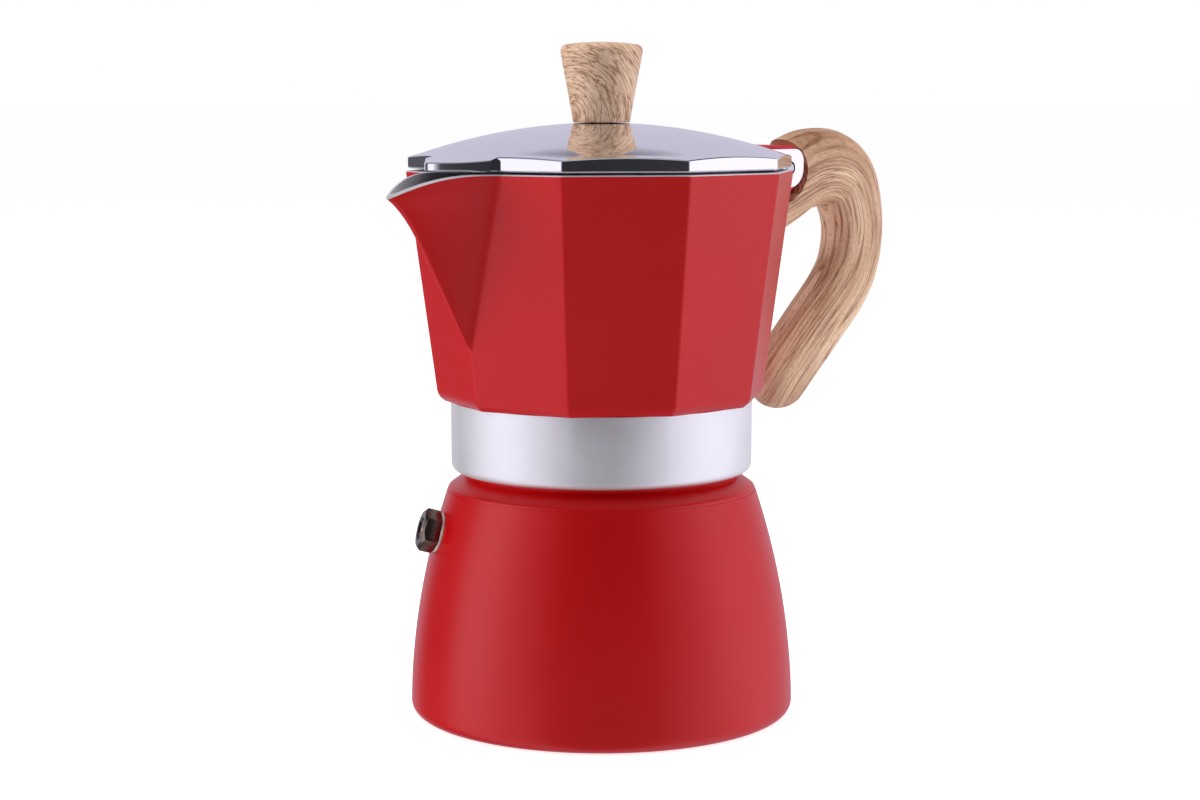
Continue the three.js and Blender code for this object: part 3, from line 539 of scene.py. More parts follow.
def jug_corner(z):
    """Corner radius of the ten-sided body at a height; it tucks in under its foot."""
    if z >= JUG_FOOT_Z:
        return JUG_FOOT_R + LEAN * (z - JUG_FOOT_Z)
    down = (JUG_FOOT_Z - z) / (JUG_FOOT_Z - JUG_Z)
    return JUG_FOOT_R - 0.3 * down - 1.6 * down ** 3


def keel_curve():
    """The spout's front line as (distance from the axis, height): straight, then curling out to the tip."""
    slope = KEEL_RISE / KEEL_RUN
    foot = Vector((jug_corner(SPOUT_FOOT_Z), SPOUT_FOOT_Z))
    bend = foot + Vector((KEEL_RUN, KEEL_RISE))
    tip = Vector((SPOUT_TIP, RIM_Z - SPOUT_DROP))
    reach = tip.x - bend.x
    handle_a = bend + 0.30 * reach * Vector((1, slope))
    handle_b = tip - 0.42 * reach * Vector((1, 0.62))
    points = [foot - Vector((4, 4 * slope)), foot]
    for i in range(25):
        t = i / 24
        points.append((1 - t) ** 3 * bend + 3 * (1 - t) ** 2 * t * handle_a + 3 * (1 - t) * t * t * handle_b
                      + t ** 3 * tip)
    points.append(tip + Vector((1.0, 4.5)))
    return points


KEEL = keel_curve()


def keel_at(z):
    """(distance from the axis, run per rise) of the keel at a height."""
    for low_point, high_point in zip(KEEL, KEEL[1:]):
        if z <= high_point.y or high_point is KEEL[-1]:
            rise = max(high_point.y - low_point.y, 1e-6)
            run = (high_point.x - low_point.x) / rise
            return low_point.x + run * (z - low_point.y), run
    return KEEL[-1].x, 0.0


def spout_radius(away, z, inset):
    """Distance from the axis to the spout's side, at an angle away from its middle; 0 below the spout."""
    grown = (z - SPOUT_FOOT_Z) / (RIM_Z - SPOUT_FOOT_Z)
    if grown <= 0.01:
        return 0.0
    nose, run = keel_at(z)
    nose -= inset * math.sqrt(1 + min(run, 1.6) ** 2)
    rounding = max(6.0 * grown - 0.8 * inset, 0.4)
    half = SPOUT_HALF * grown
    crease = (jug_corner(z) - half * math.tan(math.pi / SIDES)) - inset * 0.7
    half -= inset * 0.7
    depth = max(nose - crease, 0.2)
    width = max(half, 0.1) / math.sqrt((depth + rounding) ** 2 - rounding ** 2)
    near, far = 20.0, nose
    for _ in range(40):
        middle = (near + far) / 2
        behind = nose - middle * math.cos(away)
        side = width * math.sqrt(max((behind + rounding) ** 2 - rounding ** 2, 0)) if behind > 0 else 0
        if middle * abs(math.sin(away)) <= side:
            near = middle
        else:
            far = middle
    return near


def lip_height(r):
    """The rim is level, and the spout's lip droops from it to the tip."""
    out = max((r - (JUG_RIM_R + 0.7)) / (SPOUT_TIP - JUG_RIM_R - 0.7), 0)
    return LIP_Z - (LIP_Z - RIM_Z + SPOUT_DROP) * out * out


def wall_radius(angle, z, inset):
    apothem = jug_corner(z) * FACET_SHARE - (JUG_WALL if inset else 0)
    body = corner_share(angle, apothem, CORNER_ROUND + inset)
    away = angle % (2 * math.pi) - math.pi
    if abs(away) > math.radians(24):
        return body
    return smooth_max(body, spout_radius(away, z, inset), 0.9 if inset == 0 else 2.0)


def lip_of(angle, inset):
    """(radius, height) where the wall meets the rim or the spout's lip."""
    z = RIM_Z
    for _ in range(24):
        z += (lip_height(wall_radius(angle, z, inset)) - z) * 0.6
    return wall_radius(angle, z, inset), z


def jug_angles():
    """Column angles: even over the sides, close at the corners and over the spout."""
    angles = set()
    sector = 360 / SIDES
    for side in range(SIDES):
        middle = side * sector
        if side != SIDES // 2:
            angles.update(round(middle + step, 4) for step in (-0.7, -0.45, -0.2, 0, 0.2, 0.45, 0.7))
        angles.update(round(middle + sector * i / 8, 4) for i in range(1, 8))
    angles = {a for a in angles if abs(a - 180) > 19}
    spread = 34
    for i in range(-spread, spread + 1):
        share = i / spread
        angles.add(round(180 + 19 * (0.35 * share + 0.65 * share ** 3), 4))
    return [math.radians(a) for a in sorted(angles)]


ANGLES = jug_angles()


def polar(angle, r, z):
    return (r * math.cos(angle), r * math.sin(angle), z)


WALL_ROWS = 44


def outer_line(angle, inset, top_gap):
    """Points up the outside of the ten-sided body, from its tucked foot to just under the lip."""
    _, top = lip_of(angle, 0)
    top -= top_gap
    tucked = [JUG_Z + (JUG_FOOT_Z - JUG_Z) * i / 5 for i in range(5)]
    wall = [JUG_FOOT_Z + (top - JUG_FOOT_Z) * (i / WALL_ROWS) ** 0.85 for i in range(WALL_ROWS + 1)]
    return [(wall_radius(angle, z, 0) - inset, z) for z in tucked + wall]


def jug_enamel_line(angle):
    """The red coat: up the outside and back down just under it."""
    outside = outer_line(angle, 0, 0.3)
    inside = outer_line(angle, ENAMEL, 0.3)
    return outside + inside[::-1]


def jug_inside_line(angle):
    _, lip_z = lip_of(angle, SPOUT_WALL)
    foot = FLOOR_Z + 3
    heights = [lip_z + (foot - lip_z) * (i / 30) ** 1.1 for i in range(31)]
    wall = [(wall_radius(angle, z, SPOUT_WALL), z) for z in heights]
    foot_r = wall[-1][0]
    return wall + arc(foot_r - 3, foot, 3, 0, -90, 5)[1:]


COLUMN_FOOT_Z = low("riser_column").z + 4.0


def jug_casting_line(angle):
    """The bare casting all the way round: collar, wall, lip, inside, floor, and the collar's bore."""
    outside = outer_line(angle, ENAMEL + 0.02, 0.28)
    lip_r, lip_z = lip_of(angle, 0)
    inner_r, inner_z = lip_of(angle, SPOUT_WALL)
    lip = [(lip_r - 0.16, lip_z - 0.16), (lip_r - 0.32, lip_z - 0.02),
           ((lip_r + inner_r) / 2, (lip_z + inner_z) / 2), (inner_r + 0.3, inner_z - 0.02)]
    collar = [(COLLAR_BORE, COLLAR_Z + 0.4), (COLLAR_BORE + 0.4, COLLAR_Z),
              *arc(COLLAR_R - 2, COLLAR_Z + 2, 2, -90, 0, 6), (COLLAR_R, COLLAR_Z + 6), (COLLAR_R, JUG_Z - 6),
              (COLLAR_R, JUG_Z - 0.05)]
    floor = [(20, FLOOR_Z + 0.3), (13, FLOOR_Z + 2.2), (9.5, FLOOR_Z + 5), (7.4, FLOOR_Z + 8.3),
             (6.6, COLUMN_FOOT_Z - 0.6), (6.0, COLUMN_FOOT_Z), (4.0, COLUMN_FOOT_Z)]
    under = [(3.9, COLUMN_FOOT_Z - 4.4), (3.1, COLUMN_FOOT_Z - 4.4), (12.6, 73.7), (26, 72.9), (28.3, 72.8),
             (28.3, 71.7), (COLLAR_BORE, 71.7)]
    return collar + outside + lip + jug_inside_line(angle) + floor + under


def shell_from_lines(name, line):
    lines = [line(angle) for angle in ANGLES]
    rows = len(lines[0])
    return skin(name, len(ANGLES), rows, lambda c, r: polar(ANGLES[c], *lines[c][r]), along=True)


def make_lug():
    """The red block that carries the hinge pin, and its tang in the handle."""
    top, front, back = LUG_TOP, PIN.x - 12, jug_corner(PIN.z - LUG_R) - 1.2
    turn = math.degrees(math.asin((top - PIN.z) / LUG_R))
    side = [(back, PIN.z - LUG_R), *arc(PIN.x, PIN.z, LUG_R, -90, turn, 20),
            *arc(front + 2, top - 2, 2, 90, 180, 5), (front, RIM_Z - 1.5), (back, RIM_Z - 1.5)]
    lug = slab("hinge_lug", side, -LUG_HALF, LUG_HALF)
    tang = block("tang", (PIN.x, -TANG_HALF, PIN.z + TANG_LOW),
                 (high("upper_chamber").x, TANG_HALF, PIN.z + TANG_HIGH))
    combine(lug, tang, "UNION")
    combine(lug, rod("pin_bore", PIN_R + GAP, (PIN.x, -20, PIN.z), (PIN.x, 20, PIN.z)), "DIFFERENCE")
    return smooth(soften(lug, 0.35, 3, 35))


def make_column():
    top, foot = COLUMN_TOP, COLUMN_FOOT_Z
    column = turned("riser_tube", [
        (2.6, foot - 4), (3.6, foot - 4), (3.6, foot + 0.25), (COLUMN_R, foot + 0.25),
        (COLUMN_R - 0.8, top - 1.8), *arc(COLUMN_R - 1.8, top - 1.2, 1.2, 20, 80, 4), (0, top),
        (0, top - 1.4), (2.6, top - 1.4), (2.6, foot - 4),
    ], 48)
    combine(column, rod("outlet", 1.3, (0, -20, top - 4), (0, 20, top - 4), 24), "DIFFERENCE")
    return smooth(soften(column, 0.15, 2, 40))


jug_enamel = shell_from_lines("jug_enamel", jug_enamel_line)
jug_casting = shell_from_lines("jug_casting", jug_casting_line)
hand_over(smooth(jug_enamel, 35), JUG, "red_enamel", RED_ENAMEL, "upper_chamber")
hand_over(smooth(jug_casting, 32), JUG, "bare_aluminium", CAST_ALUMINIUM)
hand_over(make_lug(), JUG, "red_enamel", RED_ENAMEL)
hand_over(make_column(), JUG, "bare_aluminium", TURNED_INSIDE, "riser_column")

# ---------------------------------------------------------------- lid


def lid_edge_radius(angle):
    """The lid's outline: ten sides with soft corners, and the tongue over the spout."""
    body = corner_share(angle, LID_R * FACET_SHARE, 1.2)
    away = abs((angle % (2 * math.pi)) - math.pi)
    if away > 1 or body * math.sin(away) >= BEAK_HALF:
        return body
    near, far = body, BEAK_TIP
    for _ in range(40):
        r = (near + far) / 2
        edge = BEAK_TIP - math.hypot(BEAK_ROUND, BEAK_TAPER * r * math.sin(away)) + BEAK_ROUND
        near, far = (r, far) if r * math.cos(away) < edge else (near, r)
    return near


def dome_height(r):
    """The dome, flattening out towards the tongue's tip."""
    dome = DOME_Z - LID_BULGE * r * r
    return smooth_max(dome, BEAK_Z + 0.03 * (BEAK_TIP - r), 1.2)


def lid_angles():
    angles = {a for a in (math.degrees(x) for x in ANGLES) if abs(a - 180) > 19}
    edge = math.degrees(math.asin(BEAK_HALF / (LID_R * FACET_SHARE + 0.1)))
    angles.update(180 + 19 * i / 40 for i in range(-40, 41))
    for side in (-1, 1):
        angles.update(180 + side * (edge + step) for step in (-0.12, -0.04, 0.04, 0.12))
    return [math.radians(a) for a in sorted(angles)]


LID_ANGLES = lid_angles()


def lid_line(angle):
    """Over the dome, round the edge, down the skirt and back inside."""
    edge = lid_edge_radius(angle)
    roll = 0.5
    top = [(edge - roll) * (i / 26) for i in range(27)]
    over = [(r, dome_height(r)) for r in top[1:]]
    crest = dome_height(edge - roll)
    turn = [(edge - roll + roll * math.sin(a), crest - roll * 0.9 * (1 - math.cos(a)))
            for a in (math.radians(15 * i) for i in range(1, 7))]
    skirt = [(edge, LID_Z + 0.9), (edge, LID_Z + 0.35), (edge - 0.25, LID_Z),
             (edge - LID_SHEET + 0.3, LID_Z)]
    inner = edge - LID_SHEET
    under = [(inner, LID_Z + 0.4), (inner, dome_height(inner) - LID_SHEET - 0.4)]
    inside = [(inner * i / 12, dome_height(inner * i / 12) - LID_SHEET) for i in range(11, 0, -1)]
    return [(0, DOME_Z), *over, *turn, *skirt, *under, *inside, (0, DOME_Z - LID_SHEET)]


def ear(side):
    top = LID_Z + EAR_RISE
    front = PIN.x - 17
    line = [(front, LID_Z), (PIN.x - EAR_R, LID_Z), *arc(PIN.x, PIN.z, EAR_R, 180, 360, 18),
            *arc(PIN.x + EAR_R - EAR_ROUND, top - EAR_ROUND, EAR_ROUND, 0, 90, 8), (front, top)]
    low_y, high_y = sorted((side * EAR_IN, side * EAR_OUT))
    return slab("ear", line, low_y, high_y)


def make_lid():
    lines = [lid_line(angle) for angle in LID_ANGLES]
    rows = len(lines[0]) - 1
    lid = skin("lid_dome", len(LID_ANGLES), rows, lambda c, r: polar(LID_ANGLES[c], *lines[c][r]))
    notch_x = PIN.x - 14.5
    combine(lid, block("notch", (notch_x, -EAR_IN, LID_Z - 2), (70, EAR_IN, DOME_Z + 5)), "DIFFERENCE")
    for side in (-1, 1):
        combine(lid, ear(side), "UNION")
    combine(lid, rod("screw_hole", SCREW_HOLE_R, (0, 0, LID_Z), (0, 0, DOME_Z + 5)), "DIFFERENCE")
    combine(lid, rod("pin_bore", PIN_R + EAR_GAP, (PIN.x, -20, PIN.z), (PIN.x, 20, PIN.z)), "DIFFERENCE")
    return smooth(lid, 32)


hand_over(make_lid(), LID, "polished_aluminium", POLISHED, "lid")

# ---------------------------------------------------------------- knob, screws and hinge pin


def grain_map(piece, place):
    """Writes the piece's grain map: place(point in mm) gives (along, across) in mm."""
    layer = piece.data.uv_layers.new(name="grain")
    for loop in piece.data.loops:
        layer.data[loop.index].uv = Vector(place(piece.data.vertices[loop.vertex_index].co / MM)) * MM
    return piece


def make_knob():
    foot, flare = DOME_Z + 0.02, KNOB_HEAD_R - KNOB_FOOT_R
    knob = turned("knob_wood", [
        (0, foot), (KNOB_FOOT_R - 0.3, foot), *arc(KNOB_FOOT_R - 0.3, foot + 0.3, 0.3, -60, 0, 4),
        *[(KNOB_FOOT_R + flare * share ** 1.05, DOME_Z + 0.5 + 15.6 * share)
          for share in (i / 14 for i in range(1, 14))],
        *arc(KNOB_HEAD_R - 1.5, KNOB_TOP - 2.1, 1.5, 0, 78, 7),
        (6, KNOB_TOP - 0.3), (3, KNOB_TOP - 0.08), (0, KNOB_TOP),
    ], 96)
    insert_hole = rod("insert_hole", INSERT_HOLE_R, (0, 0, KNOB_Z - 2), (0, 0, KNOB_Z + INSERT_HOLE))
    combine(knob, insert_hole, "DIFFERENCE")
    turn, heart_x, heart_z = math.radians(-43), -8.9, DOME_Z + 1.1

    def place(point):
        """Growth rings about a heart low on one side, as a turned knob shows them."""
        across = point.x * math.cos(turn) + point.y * math.sin(turn) - heart_x
        deep = point.y * math.cos(turn) - point.x * math.sin(turn)
        up = point.z - heart_z
        ring = math.hypot(across, up)
        return (ring * math.atan2(up, across) + 0.5 * deep, ring + 0.12 * deep)

    return smooth(grain_map(knob, place), 35)


def make_screw(name, node):
    """A slotted pan-head screw, head down, standing where its CAD node stands."""
    lo, hi = low(node), high(node)
    x, head_r = (lo.x + hi.x) / 2, (hi.x - lo.x) / 2
    top = lo.z + SCREW_HEAD
    screw = turned(name, [
        (0, lo.z), (head_r - 1.5, lo.z), *arc(head_r - 1.1, lo.z + 1.1, 1.1, -80, 0, 6), (head_r, top),
        (SCREW_R, top), (SCREW_R, hi.z - 0.6), (SCREW_R - 0.6, hi.z), (0, hi.z),
    ], 40, place=Matrix.Identity(4))
    combine(screw, block("slot", (-6, -0.45, lo.z - 2), (6, 0.45, lo.z + 0.8)), "DIFFERENCE")
    screw.location.x = x * MM
    return smooth(settle(screw), 30)


def make_washer(name, node):
    lo, hi = low(node), high(node)
    x, r = (lo.x + hi.x) / 2, (hi.x - lo.x) / 2
    hole = SCREW_HOLE_R
    washer = turned(name, [(hole, lo.z), (r, lo.z), (r, hi.z), (hole, hi.z), (hole, lo.z)], 48)
    washer.location.x = x * MM
    return smooth(soften(settle(washer), 0.12, 2))


def make_pin():
    half, chamfer = high("hinge_pin").y, 0.3
    pin = turned("hinge_pin_rod", [
        (0, -half), (PIN_R - chamfer, -half), (PIN_R, chamfer - half), (PIN_R, half - chamfer),
        (PIN_R - chamfer, half), (0, half),
    ], 32)
    pin.rotation_euler.x = math.pi / 2
    pin.location = Vector((PIN.x, 0, PIN.z)) * MM
    return smooth(settle(pin))


hand_over(make_knob(), LID, "wood_grain", KNOB_WOOD, "knob")
hand_over(make_screw("knob_bolt", "knob_screw"), LID, "steel", STEEL, "knob_screw")
hand_over(make_washer("knob_ring", "knob_washer"), LID, "steel", STEEL, "knob_washer")
hand_over(make_screw("handle_bolt", "handle_screw"), JUG, "steel", STEEL, "handle_screw")
hand_over(make_washer("handle_ring", "handle_washer"), JUG, "steel", STEEL, "handle_washer")
hand_over(make_pin(), JUG, "steel", STEEL, "hinge_pin")

# ---------------------------------------------------------------- handle

# x and z from the hinge pin, half-thickness: the CAD handle's line, a hair thinner round the bend.
HANDLE_PATH = [
    (-16, -11.5, 10.8), (0, -6, 10.6), (8, -3, 10.2), (15, -0.6, 9.9), (23.2, -0.6, 9.6), (29.6, -4.6, 9.35),
    (32.9, -14, 8.35), (31.8, -23.9, 8.1), (27.2, -31.7, 8.1), (16.9, -41.6, 7.9), (5.2, -52.7, 7.6),
]
HANDLE_STEPS = 10                 # between two points of the path
HANDLE_SIDES = 56


def catmull_rom(points, steps):
    """A smooth line through the points."""
    ends = [2 * points[0] - points[1], *points, 2 * points[-1] - points[-2]]
    line = []
    for p0, p1, p2, p3 in zip(ends, ends[1:], ends[2:], ends[3:]):
        for i in range(steps):
            t = i / steps
            line.append(0.5 * (2 * p1 + (p2 - p0) * t + (2 * p0 - 5 * p1 + 4 * p2 - p3) * t * t
                               + (3 * p1 - p0 - 3 * p2 + p3) * t ** 3))
    return line + [points[-1]]


def handle_rings():
    """(centre, across, half-thickness, half-width, length so far) along the handle, with a rounded end."""
    points = [Vector((PIN.x + x, PIN.z + z, half)) for x, z, half in HANDLE_PATH]
    line = catmull_rom(points, HANDLE_STEPS)
    rings, run = [], 0.0
    for i, point in enumerate(line):
        ahead = line[min(i + 1, len(line) - 1)] - line[max(i - 1, 0)]
        along = Vector((ahead.x, 0, ahead.y)).normalized()
        run += (point - line[i - 1]).to_2d().length if i else 0
        rings.append((Vector((point.x, 0, point.y)), along, point.z, HANDLE_HALF, run))
    centre, along, half, width, run = rings[-1]
    for degrees in range(9, 90, 9):
        angle = math.radians(degrees)
        rings.append((centre + along * half * math.sin(angle), along, half * math.cos(angle),
                      width * math.cos(angle), run + half * math.sin(angle)))
    return rings


def make_handle():
    rings = handle_rings()

    def place(column, row):
        centre, along, half, width, _ = rings[row]
        across = Vector((-along.z, 0, along.x))
        angle = 2 * math.pi * column / HANDLE_SIDES
        power = 2 / 2.35
        side = math.copysign(abs(math.cos(angle)) ** power, math.cos(angle))
        rise = math.copysign(abs(math.sin(angle)) ** power, math.sin(angle))
        return centre + across * half * rise + Vector((0, width * side, 0))

    handle = close_ends(skin("handle_wood", HANDLE_SIDES, len(rings) - 1, place))
    recess = rod("recess", RECESS_R, (PIN.x, -30, PIN.z), (PIN.x, 30, PIN.z), 96)
    front = block("front", (0, -30, PIN.z - RECESS_R), (PIN.x, 30, PIN.z + 40))
    combine(recess, front, "UNION")
    wall = close_ends(skin("wall", SIDES, 3, jug_block_point))
    socket = block("socket", (PIN.x, -TANG_HALF - GAP, PIN.z + TANG_LOW - GAP),
                   (high("upper_chamber").x + GAP, TANG_HALF + GAP, PIN.z + TANG_HIGH + GAP))
    screw_x = (low("handle_screw").x + high("handle_screw").x) / 2
    ledge = high("handle_washer").z + GAP
    foot = ledge - COUNTERBORE
    hole = rod("screw_hole", SCREW_HOLE_R, (screw_x, 0, foot), (screw_x, 0, PIN.z))
    bore = rod("counterbore", COUNTERBORE_R, (screw_x, 0, foot), (screw_x, 0, ledge), 48)
    for cutter in (recess, wall, socket, hole, bore):
        combine(handle, cutter, "DIFFERENCE")
    return smooth(grain_map(handle, lambda point: handle_grain(point, rings)), 35)


def jug_block_point(column, row):
    """A ten-sided block a little larger than the jug, for the toe's hollow end."""
    z = (60, JUG_FOOT_Z, RIM_Z, 150)[row]
    r = jug_corner(max(z, JUG_FOOT_Z)) + 0.6 / FACET_SHARE
    return polar(2 * math.pi * column / SIDES, r, z)


def handle_grain(point, rings):
    """Length along the handle and distance across it, for the flow of the grain."""
    flat = Vector((point.x, 0, point.z))
    centre, along, _, _, run = min(rings, key=lambda ring: (ring[0] - flat).length_squared)
    across = Vector((-along.z, 0, along.x))
    offset = flat - centre
    return (run + offset.dot(along), offset.dot(across) + 0.55 * abs(point.y) ** 1.25)


hand_over(make_handle(), JUG, "wood_grain", HANDLE_WOOD, "handle")

# ---------------------------------------------------------------- safety valve


def valve_place():
    """The valve's own frame: Z out of the boiler's wall, at the wall."""
    axis = Vector(joint("valve_travel")["axis"]).normalized()
    turn = math.atan2(axis.y, axis.x)
    r = boiler_radius(VALVE_Z)
    origin = Vector((r * math.cos(turn), r * math.sin(turn), VALVE_Z)) * MM
    return Matrix.Translation(origin) @ Vector((0, 0, 1)).rotation_difference(axis).to_matrix().to_4x4()


VALVE_PLACE = valve_place()


def make_hexagon():
    corner = VALVE_FLATS / math.sqrt(3)
    deselect()
    bpy.ops.mesh.primitive_cylinder_add(
        vertices=6, radius=corner * MM, depth=(VALVE_HEX_HIGH - VALVE_HEX_LOW) * MM,
        location=(0, 0, (VALVE_HEX_LOW + VALVE_HEX_HIGH) / 2 * MM), rotation=(0, 0, math.radians(VALVE_ROLL)))
    body = settle(bpy.context.object)
    body.name = "valve_hexagon"
    cone = turned("cone", [
        (0, VALVE_HEX_LOW), (corner - 0.3, VALVE_HEX_LOW), (corner + 0.4, VALVE_HEX_LOW + 0.5),
        (corner + 0.4, VALVE_HEX_HIGH - 1.2), (corner - 0.9, VALVE_HEX_HIGH), (0, VALVE_HEX_HIGH),
    ], 96)
    combine(body, cone, "INTERSECT")
    shank = rod("shank", VALVE_SHANK_R, (0, 0, VALVE_SHANK_END), (0, 0, VALVE_HEX_LOW + 1), 48)
    combine(body, shank, "UNION")
    combine(body, rod("seat", VALVE_SEAT_BORE, (0, 0, -8), (0, 0, 8)), "DIFFERENCE")
    combine(body, rod("bore", VALVE_BORE, (0, 0, VALVE_SEAT), (0, 0, 8), 48), "DIFFERENCE")
    soften(body, 0.18, 2, 25)
    body.matrix_world = VALVE_PLACE
    return smooth(settle(body), 30)


def valve_turned(name, points, facets=48):
    return smooth(soften(turned(name, points, facets, place=VALVE_PLACE), 0.08, 2, 35))


def make_valve():
    hole, r = VALVE_SHANK_R + GAP, VALVE_FLATS / 2 + GAP
    washer = valve_turned("valve_seal", [(hole, -0.3), (r, -0.3), (r, 0.2), (hole, 0.2), (hole, -0.3)])
    ring = valve_turned("valve_ring", [(1.1, 3.0), (2.3, 3.0), (2.3, 3.8), (1.1, 3.8), (1.1, 3.0)])
    plunger = valve_turned("valve_stem", [
        (0, -3.6), (2.2, -3.6), (2.2, -2.4), (0.8, -2.2), (0.8, 3.8), (0.6, 4.0), (0, 4.0),
    ])
    return washer, ring, plunger


valve_seal, valve_ring, valve_stem = make_valve()
hand_over(make_hexagon(), BOILER, "dark_steel", DARK_STEEL, "valve_body")
hand_over(valve_seal, BOILER, "silicone_seal", SILICONE, "valve_washer")
hand_over(valve_ring, BOILER, "steel", STEEL, "valve_retainer")
hand_over(valve_stem, PLUNGER, "brass", BRASS, "valve_plunger")

# ---------------------------------------------------------------- CAD nodes that stay

KEPT = {
    "funnel": TURNED_INSIDE, "funnel_strainer": STEEL, "filter_plate": STEEL, "gasket": SILICONE,
    "knob_insert": BRASS, "valve_spring": STEEL,
}
for node, material in KEPT.items():
    kept = frame["nodes"][node]
    kept.data.materials.clear()
    kept.data.materials.append(material)

# ---------------------------------------------------------------- floor, light and camera


CAMERA_LENS = 73.2
CAMERA_TURN = math.radians(-43.1)           # from the -Y side towards the spout
CAMERA_TILT = 7.02                          # degrees downwards
CAMERA_AWAY, CAMERA_HEIGHT, CAMERA_SHIFT = 567, 143.2, (-0.26, 0.24)


def make_camera():
    """Looks slightly down at the side between spout and handle."""
    data = bpy.data.cameras.new("camera")
    data.lens, data.sensor_width = CAMERA_LENS, 36
    camera = bpy.data.objects.new("camera", data)
    level = Vector((math.sin(CAMERA_TURN), -math.cos(CAMERA_TURN), 0)) * CAMERA_AWAY
    camera.location = (level + Vector((*CAMERA_SHIFT, CAMERA_HEIGHT))) * MM
    camera.rotation_euler = (math.radians(90 - CAMERA_TILT), 0, CAMERA_TURN)
    SCENE.collection.objects.link(camera)
    SCENE.camera = camera


def make_floor():
    deselect()
    bpy.ops.mesh.primitive_plane_add(size=60)
    floor = bpy.context.object
    floor.name = "floor"
    material, nodes, _ = new_material("floor")
    shader(nodes, base_color=(0.85, 0.85, 0.85, 1), roughness=0.7, emission_color=(1, 1, 1, 1),
           emission_strength=0.72)
    floor.data.materials.append(material)
    floor.visible_glossy = floor.visible_diffuse = False


def soft_box(name, bearing, height, distance, width, tall, power):
    """An area light that faces the pot, at a bearing from the camera's own direction."""
    data = bpy.data.lights.new(name, "AREA")
    data.shape, data.size, data.size_y, data.energy = "RECTANGLE", width, tall, power
    light = bpy.data.objects.new(name, data)
    turn = CAMERA_TURN + math.radians(bearing)
    light.location = (distance * math.sin(turn), -distance * math.cos(turn), height)
    light.rotation_euler = (Vector((0, 0, 0.08)) - light.location).to_track_quat("-Z", "Y").to_euler()
    light.visible_glossy = False
    SCENE.collection.objects.link(light)


# What the studio looks like from the pot, by bearing from the camera: a dark front, a bright box on each
# side and a pale back.
STUDIO = [
    (-180, 0.62), (-152, 0.60), (-138, 0.10), (-106, 0.12), (-97, 1.10), (-50, 1.15), (-38, 0.50),
    (-28, 0.08), (-12, 0.03), (14, 0.03), (30, 0.08), (42, 0.60), (54, 1.15), (105, 1.2), (128, 0.65),
    (150, 0.6), (180, 0.62),
]
STUDIO_TINT = Vector((0.98, 0.95, 1.15))
TABLE_LIGHT, ROOM_LIGHT = (0.95, 0.95, 0.95), (0.28, 0.28, 0.29)
# Heights (the Z of a direction) over which the mirrored boxes end in a dark band, the band in a pale ceiling,
# and the table in the room.
DARK_BAND, PALE_CEILING, TABLE_EDGE = (0.52, 0.62), (0.78, 0.92), (-0.2, 0.2)
BAND_TONE, CEILING_TONE = (0.10, 0.10, 0.12), (0.50, 0.50, 0.56)


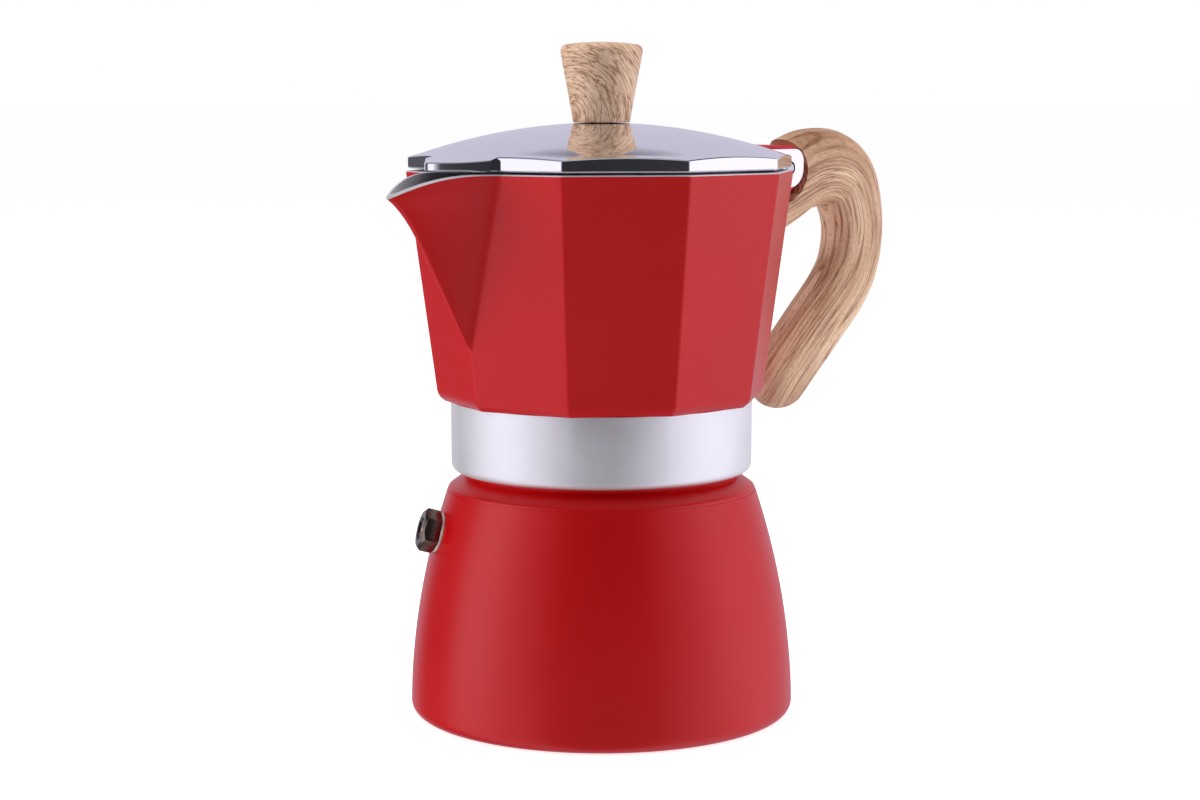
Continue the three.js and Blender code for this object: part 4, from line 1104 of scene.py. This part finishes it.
def make_world():
    """White for the eye, a pale table under a dim room for light, and the studio for what mirrors."""
    world = bpy.data.worlds.new("studio")
    world.use_nodes = True
    nodes, links = world.node_tree.nodes, world.node_tree.links

    def background(source=None):
        made = nodes.new("ShaderNodeBackground")
        made.inputs["Color"].default_value = (1, 1, 1, 1)
        if source:
            links.new(source, made.inputs["Color"])
        return made.outputs["Background"]

    def chosen(ray, others, own):
        """One background for a kind of ray and another for the rest."""
        made = nodes.new("ShaderNodeMixShader")
        links.new(rays.outputs[ray], made.inputs["Fac"])
        links.new(others, made.inputs[1])
        links.new(own, made.inputs[2])
        return made.outputs["Shader"]

    def spread(source, start, end):
        made = nodes.new("ShaderNodeMapRange")
        made.inputs["From Min"].default_value, made.inputs["From Max"].default_value = start, end
        links.new(source, made.inputs["Value"])
        return made.outputs["Result"]

    rays, where = nodes.new("ShaderNodeLightPath"), nodes.new("ShaderNodeTexCoord")
    turned_round = nodes.new("ShaderNodeVectorRotate")
    turned_round.rotation_type = "Z_AXIS"
    turned_round.inputs["Angle"].default_value = -CAMERA_TURN
    links.new(where.outputs["Generated"], turned_round.inputs["Vector"])
    split = nodes.new("ShaderNodeSeparateXYZ")
    links.new(turned_round.outputs["Vector"], split.inputs["Vector"])
    toward = nodes.new("ShaderNodeMath")
    toward.operation, toward.inputs[1].default_value = "MULTIPLY", -1
    links.new(split.outputs["Y"], toward.inputs[0])
    bearing = nodes.new("ShaderNodeMath")
    bearing.operation = "ARCTAN2"
    links.new(split.outputs["X"], bearing.inputs[0])
    links.new(toward.outputs["Value"], bearing.inputs[1])
    ramp = nodes.new("ShaderNodeValToRGB")
    stops = [((degrees + 180) / 360, (*(STUDIO_TINT * value), 1)) for degrees, value in STUDIO]
    for element, (position, colour) in zip(ramp.color_ramp.elements, (stops[0], stops[-1])):
        element.position, element.color = position, colour
    for position, colour in stops[1:-1]:
        ramp.color_ramp.elements.new(position).color = colour
    links.new(spread(bearing.outputs["Value"], -math.pi, math.pi), ramp.inputs["Fac"])
    overhead, above, table = (nodes.new("ShaderNodeMix") for _ in range(3))
    overhead.data_type = above.data_type = table.data_type = "RGBA"
    links.new(spread(split.outputs["Z"], *DARK_BAND), overhead.inputs["Factor"])
    links.new(ramp.outputs["Color"], overhead.inputs["A"])
    links.new(spread(split.outputs["Z"], *PALE_CEILING), above.inputs["Factor"])
    above.inputs["A"].default_value, above.inputs["B"].default_value = (*BAND_TONE, 1), (*CEILING_TONE, 1)
    links.new(above.outputs["Result"], overhead.inputs["B"])
    links.new(spread(split.outputs["Z"], *TABLE_EDGE), table.inputs["Factor"])
    table.inputs["A"].default_value, table.inputs["B"].default_value = (*TABLE_LIGHT, 1), (*ROOM_LIGHT, 1)

    lit, mirrored = background(table.outputs["Result"]), background(overhead.outputs["Result"])
    indirect = chosen("Is Glossy Ray", lit, mirrored)
    links.new(chosen("Is Camera Ray", indirect, background()), nodes["World Output"].inputs["Surface"])
    SCENE.world = world


make_camera()
make_floor()
make_world()
soft_box("left_box", -80, 0.26, 0.9, 0.5, 0.9, 6.6)
soft_box("right_box", 84, 0.26, 0.9, 0.5, 0.9, 5.2)
soft_box("top_box", 150, 1.2, 0.35, 0.9, 0.9, 8)
SCENE.view_settings.view_transform = "Standard"
